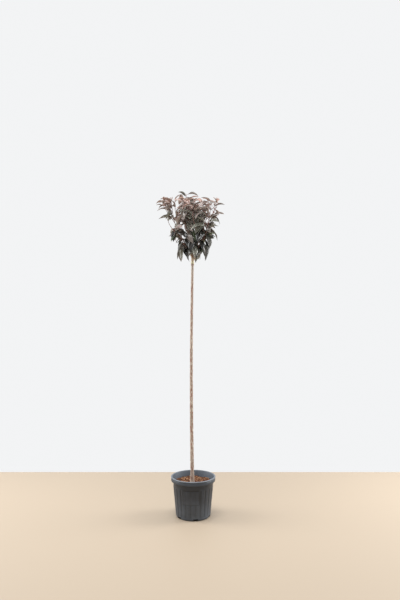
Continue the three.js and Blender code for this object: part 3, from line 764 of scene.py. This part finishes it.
def plan_masses():
    fields = ("name", "azimuth", "height", "lean", "tip_lean", "length", "sides", "reach", "apart")
    plans = [Record(**dict(zip(fields, bough)), habit=TALL, wood=BOUGH_WOOD) for bough in BOUGHS]
    plans += [Record(**dict(zip(fields, (*spray, 0, SPRAY_REACH, 0))), habit=LOW, wood=0) for spray in SPRAYS]
    for i, mass in enumerate(plans):
        vars(mass).update(index=i, key=i * 10, shoots=[], spurs=[], leaves=[])
        mass.line = leader_line(mass, mass.azimuth)
    return plans


def leader_line(mass, azimuth):
    start = stem_at(np.float64(mass.height))
    return shoot_line(start, azimuth, mass.lean, mass.tip_lean, mass.length, mass.index)


def make_shoot(line, key, azimuth, length, radius, youth=1, droop=YOUNG_DROOP, bearing=0):
    """A shoot, or a spur where it has a number of leaves to bear."""
    return Record(line=line, key=key, azimuth=azimuth, length=length, radius=radius, youth=youth, droop=droop,
                  bearing=bearing)


def add_shoot(growth, mass, shoot):
    mass.shoots.append(shoot)
    growth.keep_wood(shoot.line, shoot.radius, mass)


def grow_leader(growth, mass):
    start = mass.wood - TWIG_ROOT / mass.length if mass.wood else 0
    for attempt in range(TRIES):
        if not mass.wood:
            turn = mass.azimuth + spread(mass.key, attempt, "retry", SPRAY_RETRY_TURN * attempt)
            mass.line = leader_line(mass, turn)
        line = cut_line(mass.line, start, 1)
        if mass.wood or growth.clear_of_wood(line[2:], TWIG_RADIUS, mass):
            length = mass.length * (1 - start)
            add_shoot(growth, mass, make_shoot(line, mass.key, mass.azimuth, length, TWIG_RADIUS))
            return


def grow_sides(growth, mass):
    for s in range(mass.sides):
        key = mass.key + s + 1
        start = along(mass.line, lerp(FORK_FROM, FORK_TO, s / (mass.sides - 1)))
        swing = (1 if s % 2 else -1) * (SIDE_SWING + spread(key, 0, "swing", SIDE_SWING_SPREAD))
        size = 1 + spread(key, 0, "length", SIDE_LENGTH_SPREAD)
        length = mass.length * SIDE_LENGTH * (1 - SIDE_SHORTER * s) * size
        for attempt in range(TRIES):
            azimuth = mass.azimuth + swing + spread(key, attempt, "retry", SIDE_RETRY_TURN * attempt)
            line = shoot_line(start, azimuth, SIDE_LEAN, SIDE_TIP_LEAN, length, key)
            if growth.clear_of_wood(line, TWIG_RADIUS * SIDE_THINNER, mass):
                add_shoot(growth, mass, make_shoot(line, key, azimuth, length, TWIG_RADIUS * SIDE_THINNER))
                break


def grow_fine_shoots(growth, masses):
    """Thinner shoots, which fill the crown where the first ones leave it open."""
    for key, (name, place, azimuth, lean, tip_lean, length, youth, droop) in enumerate(FINE_SHOOTS, FINE_KEYS):
        mass = next(mass for mass in masses if mass.name == name)
        line = shoot_line(along(mass.line, place), azimuth, lean, tip_lean, length, key, FINE_STEP)
        thin = TWIG_RADIUS * FINE_THINNER
        add_shoot(growth, mass, make_shoot(line, key, azimuth, length, thin, youth, droop))


def set_age(leaf, age, blade, droop, sag, old_pitch):
    """Sets all that depends on a leaf's age. Young leaves stand up, old ones droop."""
    vars(leaf).update(
        age=age,
        blade=blade,
        width=blade * lerp(*LEAF_WIDTHS, age),
        petiole=lerp(*PETIOLES, age),
        pitch=[math.radians(lerp(young, old, droop) + sag) for young, old in zip(YOUNG_PITCH, old_pitch)],
    )
    leaf.twist = outward_twist(leaf)


def make_leaf(mass, shoot, n, count, attempt):
    habit = mass.habit
    t = lerp(habit.first_leaf, 1, 1 - (1 - n / (count - 1)) ** CROWDING)
    age = lerp(1, habit.tip_age, t ** AGEING) * shoot.youth
    key, item = shoot.key, n * TRIES + attempt
    if habit is LOW:
        turn = shoot.azimuth + (1 if n % 2 else -1) * SPRAY_SWING * (0.5 + 2 * draw(key, n, "turn"))
    else:
        turn = key * SHOOT_TURN + n * LEAF_TURN
    azimuth = turn + spread(key, item, "turn", LEAF_TURN_SPREAD + LEAF_RETRY_TURN * attempt)
    if mass.apart:
        swing = (azimuth - mass.azimuth + 180) % 360 - 180
        azimuth = mass.azimuth + swing * OUTWARD_SHARE
    leaf = Record(
        key=key,
        item=n,
        root=along(shoot.line, min(t, LAST_LEAF)),
        azimuth=math.radians(azimuth),
        size=1 + spread(key, n, "size", SIZE_SPREAD) - SHRINK * attempt,
        fold=math.radians(lerp(*FOLDS, age)),
        roll=math.radians(spread(key, item, "roll", lerp(*ROLLS, age))),
    )
    blade = lerp(*LEAF_LENGTHS, min(1, age / FULL_SIZE_AGE)) * leaf.size
    sag = spread(key, item, "sag", habit.sag_spread) + habit.tip_over * attempt
    set_age(leaf, age, blade, max(age, shoot.droop), sag, habit.old_pitch)
    return leaf


def in_space(samples, mass, masses):
    axis = stem_at(samples[:, 2])
    out = np.hypot(samples[:, 0] - axis[:, 0], samples[:, 1] - axis[:, 1])
    if (out > crown_radius(samples[:, 2]) * mass.reach).any():
        return False
    if samples[:, 0].min() < CROWN_LEFT or samples[:, 1].min() < CROWN_FRONT:
        return False
    if mass.habit is LOW:
        return samples[:, 2].max() < SPRAY_CEILING
    own = np.min([distances(samples, shoot.line) for shoot in mass.shoots], axis=0)
    for other in masses:
        if other is not mass and other.habit is TALL:
            if (distances(samples, other.line) <= own - INTERLEAVE + other.apart).any():
                return False
    return True


# Windows of sky through the crown, as the front shows them: middle and half sizes across and up, in the
# plane through the stem
SKY = (
    (-133, 2034, 13, 26), (-139, 1956, 11, 30), (94, 1968, 15, 20), (116, 2022, 8, 16),
    (-209, 2018, 36, 16), (-212, 1936, 42, 34), (-205, 1828, 50, 40), (-168, 1790, 66, 24), (-178, 1752, 56, 28),
    (52, 2186, 46, 48), (-17, 1928, 4, 12), (-110, 2083, 8, 22), (-62, 1916, 4, 12), (-76, 1800, 7, 10),
    (62, 1726, 7, 18), (-170, 1898, 16, 10), (132, 2060, 16, 9), (162, 2052, 20, 10), (-62, 1722, 12, 16),
    (150, 1745, 42, 40), (192, 1975, 18, 34), (-165, 2134, 16, 7), (190, 2040, 30, 7),
)


def opens_sky(samples):
    """True where a leaf would cover one of the windows of sky."""
    eye = np.array(EYE) / MM
    scale = -eye[1] / (samples[:, 1] - eye[1])
    x = eye[0] + (samples[:, 0] - eye[0]) * scale
    z = eye[2] + (samples[:, 2] - eye[2]) * scale
    return any((((x - cx) / rx) ** 2 + ((z - cz) / rz) ** 2 < 1).any() for cx, cz, rx, rz in SKY)


def settle(growth, leaf, mass, masses, room):
    """Keeps a leaf where it has its room, and tells whether it does."""
    samples = leaf_samples(leaf)
    if samples[:, 2].min() < CROWN_FOOT or opens_sky(samples) or not in_space(samples, mass, masses):
        return False
    if not growth.clear_of_wood(samples, WOOD_ROOM, mass) or not growth.has_room(samples, mass, *room):
        return False
    mass.leaves.append(leaf)
    growth.keep_leaf(samples, mass)
    return True


def grow_leaves(growth, mass, masses):
    for shoot in mass.shoots:
        count = int(shoot.length * (1 - mass.habit.first_leaf) / mass.habit.internode + 0.5) + 2
        for n in range(count):
            for attempt in range(TRIES):
                leaf = make_leaf(mass, shoot, n, count, attempt)
                if settle(growth, leaf, mass, masses, (OWN_ROOM, LEAF_ROOM)):
                    break


def make_spur_leaf(mass, spur, n, attempt, place, shoot_age):
    """A leaf as on a shoot, but as old as the part of the shoot that its spur stands on."""
    leaf = make_leaf(mass, spur, n, spur.bearing, attempt)
    age = shoot_age * SHOOT_SHARE + leaf.age * OWN_SHARE
    leaf.root = along(spur.line, place)
    blade = lerp(*LEAF_LENGTHS, age) * SPUR_LEAF * leaf.size
    sag = spread(spur.key, n * TRIES + attempt, "sag", SPUR_SAG_SPREAD)
    set_age(leaf, age, blade, min(1.0, age + SPUR_DROOP), sag, TALL.old_pitch)
    return leaf


def grow_spurs(growth, mass, masses):
    """Short twigs along each shoot, each with a few leaves of its own."""
    habit = mass.habit
    low = habit is LOW
    for shoot in mass.shoots:
        for k in range(int(shoot.length * (1 - SPUR_FIRST) / SPUR_SPACING)):
            key = SPUR_KEYS + shoot.key * SPUR_KEY_STEP + k
            t = SPUR_FIRST + (k + draw(key, 0, "spur")) * SPUR_SPACING / shoot.length
            if t > SPUR_LAST or (low and t < LOW_SPUR_FIRST):
                continue
            azimuth = shoot.key * SHOOT_TURN + k * SPUR_TURN + spread(key, 1, "spur", SPUR_TURN_SPREAD)
            if low:
                azimuth = shoot.azimuth + (1 if k % 2 else -1) * LOW_SPUR_SWING
            high = 0 if low else smooth(*HIGH_SPURS, t)
            length = lerp(SPUR_LENGTH, HIGH_SPUR_LENGTH, high) * (1 + spread(key, 2, "spur", SPUR_LENGTH_SPREAD))
            line = shoot_line(along(shoot.line, t), azimuth, SPUR_LEAN, SPUR_TIP_LEAN, length, key, SPUR_STEP)
            if not growth.clear_of_wood(line[2:], SPUR_RADIUS + TWIG_GAP, mass):
                continue
            bearing = SPUR_LEAVES if t > SPUR_CHANGE else OLD_SPUR_LEAVES
            spur = make_shoot(line, key, azimuth, length, SPUR_RADIUS, bearing=bearing)
            age = lerp(1, habit.tip_age, t ** AGEING) * shoot.youth
            found = False
            for n in range(bearing):
                place = BEARING_FROM + BEARING_OVER * n / (bearing - 1)
                for attempt in range(SPUR_TRIES):
                    leaf = make_spur_leaf(mass, spur, n, attempt, place, age)
                    if settle(growth, leaf, mass, masses, (SPUR_ROOM, SPUR_ROOM)):
                        found = True
                        break
            if found:
                mass.spurs.append(spur)
                growth.keep_wood(line, SPUR_RADIUS, mass)


# ---- Wood ----

BARK_MARKS = ("pale", "red", "dark")


def flow(line, count):
    """A smooth curve through a line of points, as count evenly shared points."""
    ends = np.vstack([2 * line[0] - line[1], line, 2 * line[-1] - line[-2]])
    places = np.linspace(0, len(line) - 1, count)
    i = np.minimum(places.astype(int), len(line) - 2)
    t = (places - i)[:, None]
    a, b, c, d = ends[i], ends[i + 1], ends[i + 2], ends[i + 3]
    return 0.5 * (2 * b + (c - a) * t + (2 * a - 5 * b + 4 * c - d) * t ** 2 + (3 * b - a - 3 * c + d) * t ** 3)


def cross_frames(line):
    """Two directions across a curve at each point, turning as little as they can."""
    ways = np.gradient(line, axis=0)
    ways /= np.linalg.norm(ways, axis=1)[:, None]
    across = np.cross(ways[0], [0.3, 1, 0.1])
    firsts = []
    for way in ways:
        across = across - way * across.dot(way)
        across /= np.linalg.norm(across)
        firsts.append(across)
    firsts = np.array(firsts)
    return firsts, np.cross(ways, firsts)


def tube_arrays(line, radii, sides):
    first, second = cross_frames(line)
    turns = np.arange(sides) * math.tau / sides
    rings = (line[:, None] + radii[:, None, None] *
             (first[:, None] * np.cos(turns)[:, None] + second[:, None] * np.sin(turns)[:, None]))
    n = len(line)
    i, j = np.meshgrid(np.arange(n - 1), np.arange(sides), indexing="ij")
    k = (j + 1) % sides
    quads = np.stack([i * sides + j, i * sides + k, (i + 1) * sides + k, (i + 1) * sides + j], -1).reshape(-1, 4)
    return rings.reshape(-1, 3), quads


def sleeve(line, radii, sides, relief):
    """A tube on a grid wrapped round a curve, its surface raised by relief, which also gives three tints."""
    rings = len(line) - 1
    first, second = cross_frames(line)
    bm = bmesh.new()
    bmesh.ops.create_grid(bm, x_segments=sides, y_segments=rings, size=1)
    tints = [bm.verts.layers.float.new(mark) for mark in BARK_MARKS]
    for vert in bm.verts:
        column = round((vert.co.x + 1) / 2 * sides)
        row = round((vert.co.y + 1) / 2 * rings)
        turn = column % sides * math.tau / sides
        lift, values = relief(turn, line[row][2], radii[row])
        spot = line[row] + (radii[row] + lift) * (first[row] * math.cos(turn) + second[row] * math.sin(turn))
        vert.co = Vector(spot)
        for layer, value in zip(tints, values):
            vert[layer] = value
    bmesh.ops.remove_doubles(bm, verts=bm.verts, dist=1e-3)
    rims = [edge for edge in bm.edges if edge.is_boundary]
    bmesh.ops.holes_fill(bm, edges=rims, sides=0)
    bmesh.ops.recalc_face_normals(bm, faces=bm.faces)
    return bm


KNOT_COUNT, KNOTS_FROM, KNOTS_OVER, KNOT_SIZES = 13, SOIL_LEVEL + 70, 1380, (2.2, 4.2)
PORE_ROW, PORE_COLUMNS, PORE_SHARE, PORE_HALF_HEIGHT, PORE_HALF_WIDTHS = 7, 5, 0.62, 0.95, (1.6, 4.2)


def knots():
    """Height, azimuth and size of the stem's knots, spread over its length."""
    for i in range(KNOT_COUNT):
        up, at, size = (draw(key, i, "spur") for key in KNOT_KEYS)
        yield KNOTS_FROM + KNOTS_OVER * (i + up) / KNOT_COUNT, at * math.tau, lerp(*KNOT_SIZES, size)


KNOTS = list(knots())


def around(turn, at, radius):
    """How far round the wood one azimuth is from another, the short way."""
    return ((turn - at + math.pi) % math.tau - math.pi) * radius


def pores(turn, z, radius, seed):
    """Lenticels: short level pores, 3 to 8 mm wide and about 2 mm high, scattered in rows."""
    best = 0.0
    middle = math.floor(z / PORE_ROW)
    for row in (middle - 1, middle, middle + 1):
        for column in range(PORE_COLUMNS):
            item = row * PORE_COLUMNS + column
            if draw(seed, item + 9000, "tint") > PORE_SHARE:
                continue
            at = (column + draw(seed, item, "spur")) * math.tau / PORE_COLUMNS
            high = (row + draw(seed, item, "turn")) * PORE_ROW
            dx = around(turn, at, radius) / lerp(*PORE_HALF_WIDTHS, draw(seed, item, "size"))
            dz = (z - high) / PORE_HALF_HEIGHT
            best = max(best, 1 - (dx * dx + dz * dz))
    return best


def stem_relief(turn, z, radius):
    """The stem's bark in millimetres: waves, streaks, peeling flakes, pores, knots and the graft's ring."""
    x, y = polar(turn)
    broad, streak, fine, flake = (
        noise.noise(Vector((x * width, y * width, z / height + apart)))
        for width, height, apart in ((1.2, 55, 0), (5, 16, 40), (16, 5, 90), (3.1, 26, 200)))
    pore = pores(turn, z, radius, STEM_PORES)
    lift = 0.55 * broad + 0.28 * streak + 0.16 * fine + 0.42 * pore ** 0.5
    dark = 0.0
    for height, at, size in KNOTS:
        dz = (z - height) / size
        if abs(dz) < 3:
            dx = around(turn, at, radius) / size
            near = math.exp(-(dx * dx + dz * dz) / 1.4)
            pit = math.exp(-(dx * dx + dz * dz) / 0.22)
            lift += 1.9 * near - 1.5 * pit
            dark = max(dark, near * 0.7, pit)
    scion = smooth(GRAFT_HEIGHT - 16, GRAFT_HEIGHT - 2, z + 5 * broad)
    ring = math.exp(-(((z - GRAFT_HEIGHT + 3 * broad) / 3.2) ** 2))
    lift += 0.8 * flake * ring - 0.7 * ring * (fine > 0)
    union = math.exp(-(((z - GRAFT_HEIGHT - 8) / 9) ** 2))
    high = 0.42 * smooth(1380, 1640, z) * (1 - scion)
    pale = max(pore * 0.8, smooth(0.08, 0.3, flake) * (1 - scion), union * scion, high)
    red = smooth(0.0, 0.35, streak + broad * 0.7) * (1 - scion)
    return lift, (pale, red, dark + 0.6 * ring)


def bough_relief(turn, z, radius):
    x, y = polar(turn)
    streak = noise.noise(Vector((x * 3, y * 3, z / 14)))
    pore = pores(turn, z, radius, BOUGH_PORES)
    return 0.16 * streak + 0.22 * pore ** 0.5, (pore * 0.7, smooth(-0.1, 0.4, streak), 0.0)


def cherry_bark(name, low, high, pale, red):
    """Cherry bark: smooth and satin, with level pores, peeling grey film and reddish brown below it."""
    material, tree, seen = patterned_material(name, (
        ("film", 7.6923, 21.978, 5, 0.6), ("fibre", 1.4286, 2.8571, 3, 0.6),
    ), BARK_MARKS)
    finish_material(tree, {
        "Base Color": tinted(tree, linear(low), (
            (seen["film"], 0.35, 0.65, 1, high), (seen["red"], 0.1, 0.9, 0.85, red),
            (seen["pale"], 0.15, 0.75, 0.9, pale), (seen["dark"], 0.25, 0.9, 0.85, "#3a2c24"),
        )),
        "Roughness": add(tree, "ShaderNodeMapRange", EASED, span(seen["film"], 0.3, 0.7, 0.5, 0.72)).outputs[0],
        "Specular IOR Level": 0.4,
        "Normal": add(tree, "ShaderNodeBump", None, {
            "Height": seen["fibre"], "Distance": 0.25 * MM, "Strength": 0.7,
        }).outputs[0],
    })
    return material


def make_trunk():
    heights = np.linspace(SOIL_LEVEL - 6, TRUNK_TOP, TRUNK_RINGS + 1)
    line = stem_at(heights)
    radii = np.array([stem_radius(max(z, SOIL_LEVEL)) for z in heights])
    radii[-3:] *= (0.97, 0.86, 0.6)
    bm = sleeve(line, radii, TRUNK_SIDES, stem_relief)
    bark = cherry_bark("cherry_bark", "#93806f", "#ae998b", "#cfc4b6", "#8c5748")
    # The grafted head's younger bark is smoother in tone, paler and more yellow
    young = cherry_bark("scion_bark", "#bfa78d", "#ccb59a", "#ded8b4", "#a67f6a")
    for face in bm.faces:
        face.material_index = int(face.calc_center_median().z > GRAFT_HEIGHT)
    trunk = make_object("trunk_bark", mesh_of("trunk_bark", bm), [bark, young])
    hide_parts("trunk")
    return young


def make_boughs(masses, bark):
    for mass in masses:
        if not mass.wood:
            continue
        line = flow(cut_line(mass.line, 0, mass.wood + BOUGH_OVERLAP / mass.length), BOUGH_RINGS)
        radii = np.linspace(BOUGH_RADIUS, BOUGH_TIP_RADIUS, BOUGH_RINGS)
        name = "bough_bark_" + mass.name
        bough = make_object(name, mesh_of(name, sleeve(line, radii, BOUGH_SIDES, bough_relief)), [bark])
        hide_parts("bough_" + mass.name)


# ---- Leaves and twigs ----

LEAF_ROWS = 9
TIP_HALF_WIDTH, LEAF_THICKNESS, LEAF_BOW, LEAF_WAVE, LEAF_WAVES = 0.15, 0.9, 0.16, 0.13, 8
ACROSS = np.array([-1, -0.52, -0.045, 0.045, 0.52, 1])
RIB_COLUMN = 2
UPPER, UNDER, RIB = 0, 1, 2
STALK_RINGS, STALK_SIDES, STALK_RADII = 4, 3, (1, 0.75)
SPUR_RINGS, SPUR_SIDES, TWIG_SIDES = 7, 6, 9
NODE_RINGS, NODE_SWELL = 4, 1.1
# The pale grey upper sides of tints 1, 2 and 4 are partly the leaves' own colour and partly painted reflection of the
# bright room
TINTS = (  # upper side, underside, rib, from old to young
    ("#20211e", "#50514a", "#574540"),
    ("#54534d", "#74736a", "#775b53"),
    ("#828277", "#96968a", "#918377"),
    ("#4e5a42", "#7a8566", "#7f7e58"),
    ("#7a726b", "#8f867f", "#93716d"),
    ("#8f807a", "#a0928a", "#a37a76"),
    ("#9c8177", "#a99388", "#ad7d77"),
    ("#a37f71", "#b1978a", "#b07a73"),
    ("#ab8675", "#b99f90", "#b8837b"),
)
TINT_HEIGHT_SPREAD = 22
# Partly painted light: the grey tints of the middle crown stand for reflection of the bright room, and the near-black
# ones from 1785 mm to 1876 mm for the shade low in the crown
TINT_STEPS = (  # from this height of the blade's middle upwards, the tints that leaves draw from
    (2118, (1, 4, 4, 5)), (2062, (5, 6, 6, 7, 7, 8)), (2010, (4, 4, 5, 5, 6, 6)), (1876, (2, 2, 2, 4, 4, 5, 5, 5)),
    (1785, (0, 0, 0, 0, 1, 1, 3, 4)), (0, (0, 1, 1, 2, 4)),
)


def tint_of(leaf):
    """Young leaves at the top are bronze, old ones lower down grey, nearly black or now and then green. The grey is
    partly painted reflection, and the near black partly painted shade.
    """
    height = leaf_places(leaf, np.array([0.5]))[0][0][2]
    height += spread(leaf.key, leaf.item, "tint", TINT_HEIGHT_SPREAD)
    choices = next(choices for low, choices in TINT_STEPS if height > low)
    return choices[int(draw(leaf.key, leaf.item + 50, "tint") * len(choices))]


def leaf_grid():
    """The faces of a leaf: an upper skin with a rib, and a plainer lower skin that shares its edge."""
    columns = len(ACROSS)
    top = np.arange(LEAF_ROWS * columns).reshape(LEAF_ROWS, columns)
    low = np.stack([top[:, 0], top.size + np.arange(LEAF_ROWS), top[:, -1]], 1)
    faces, kinds = [], []
    for i in range(LEAF_ROWS - 1):
        for j in range(columns - 1):
            faces.append((top[i, j], top[i, j + 1], top[i + 1, j + 1], top[i + 1, j]))
            kinds.append(RIB if j == RIB_COLUMN else UPPER)
        for j in (0, 1):
            faces.append((low[i, j], low[i + 1, j], low[i + 1, j + 1], low[i, j + 1]))
            kinds.append(UNDER)
    return np.array(faces), np.array(kinds)


LEAF_FACES, LEAF_KINDS = leaf_grid()
LEAF_PLACES = np.array([0, 0.07, 0.19, 0.33, 0.48, 0.63, 0.77, 0.9, 1])


def leaf_points(leaf):
    """The points of a leaf's two skins: folded on its rib, bowed between rib and edge, and a little wavy."""
    centres, side, upward, half = leaf_places(leaf, LEAF_PLACES)
    half[-1] = TIP_HALF_WIDTH
    wide = np.abs(ACROSS)
    phase = draw(leaf.key, leaf.item, "wave") * math.tau
    bow = LEAF_BOW * np.sin(np.pi * wide) * half[:, None]
    wave = LEAF_WAVE * half[:, None] * wide ** 2 * np.sin(LEAF_PLACES[:, None] * LEAF_WAVES + phase + np.sign(ACROSS))
    rise = wide * half[:, None] * math.sin(leaf.fold) + bow + wave
    rise[0] = rise[-1] = 0
    flat = ACROSS * math.cos(leaf.fold) * half[:, None]
    top = centres[:, None] + side[:, None] * flat[..., None] + upward[:, None] * rise[..., None]
    low = centres - upward * np.minimum(LEAF_THICKNESS, half * 0.6)[:, None]
    return np.concatenate([top.reshape(-1, 3), low])


def stalk_points(leaf):
    """The petiole's curve, from inside its twig to the blade's base."""
    root, base, _ = leaf.pitch
    out, up = arc_end(leaf.petiole, root, base, np.linspace(0, 1, STALK_RINGS))
    return leaf.root + np.stack([*polar(leaf.azimuth, out), up], 1)


def make_leaves(mass, materials):
    heap = Heap()
    for leaf in mass.leaves:
        coats = tint_of(leaf) * 3
        heap.lay(leaf_points(leaf), LEAF_FACES, LEAF_KINDS + coats)
        stalk = tube_arrays(stalk_points(leaf), np.linspace(*STALK_RADII, STALK_RINGS), STALK_SIDES)
        heap.lay(*stalk, coats + RIB)
    leaves = heap.piece("leaves_" + mass.name, materials)
    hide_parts("foliage_" + mass.name)


def make_twigs(masses):
    heap = Heap()
    for mass in masses:
        for shoot in mass.shoots + mass.spurs:
            spur = shoot.bearing > 0
            count = SPUR_RINGS if spur else NODE_RINGS * (len(shoot.line) - 1) + 1
            radii = np.linspace(shoot.radius, SPUR_TIP_RADIUS if spur else TWIG_TIP_RADIUS, count)
            if not spur:
                radii[::NODE_RINGS] *= NODE_SWELL
            radii[-1] *= 0.4
            tube = tube_arrays(flow(shoot.line, count), radii, SPUR_SIDES if spur else TWIG_SIDES)
            heap.lay(*tube, int(not spur))
    # This year's spurs are red-brown and satin, the older shoots duller and woody
    twigs = heap.piece("twigs", [plain("new_twig", "#8d5654", 0.5), plain("woody_twig", "#7d5548", 0.6)])


def make_foliage(masses):
    # Cherry leaves: waxy and satin above, most so when old, matt below, with a reddish rib and stalk
    materials = []
    for i, (upper, under, rib) in enumerate(TINTS):
        materials += [
            plain(f"leaf_upper_{i}", upper, lerp(0.2, 0.36, i / (len(TINTS) - 1)), 0.65),
            plain(f"leaf_under_{i}", under, 0.58, 0.3),
            plain(f"leaf_rib_{i}", rib, 0.5, 0.4),
        ]
    for mass in masses:
        make_leaves(mass, materials)
    make_twigs(masses)


def grow_tree():
    growth = Growth()
    head = stem_at(np.linspace(CROWN_FOOT - 60, TRUNK_TOP, 5))
    growth.keep_wood(head, TOP_RADIUS + TWIG_GAP, None)
    masses = plan_masses()
    for mass in masses:
        if mass.wood:
            growth.keep_wood(cut_line(mass.line, 0, mass.wood), BOUGH_RADIUS, None)
    for mass in masses:
        grow_leader(growth, mass)
    for mass in masses:
        grow_sides(growth, mass)
    grow_fine_shoots(growth, masses)
    for mass in reversed(masses):
        grow_leaves(growth, mass, masses)
    for mass in reversed(masses):
        grow_spurs(growth, mass, masses)
    return masses


make_pot()
make_soil()
make_chips()
scion_bark = make_trunk()
masses = grow_tree()
make_boughs(masses, scion_bark)
make_foliage(masses)
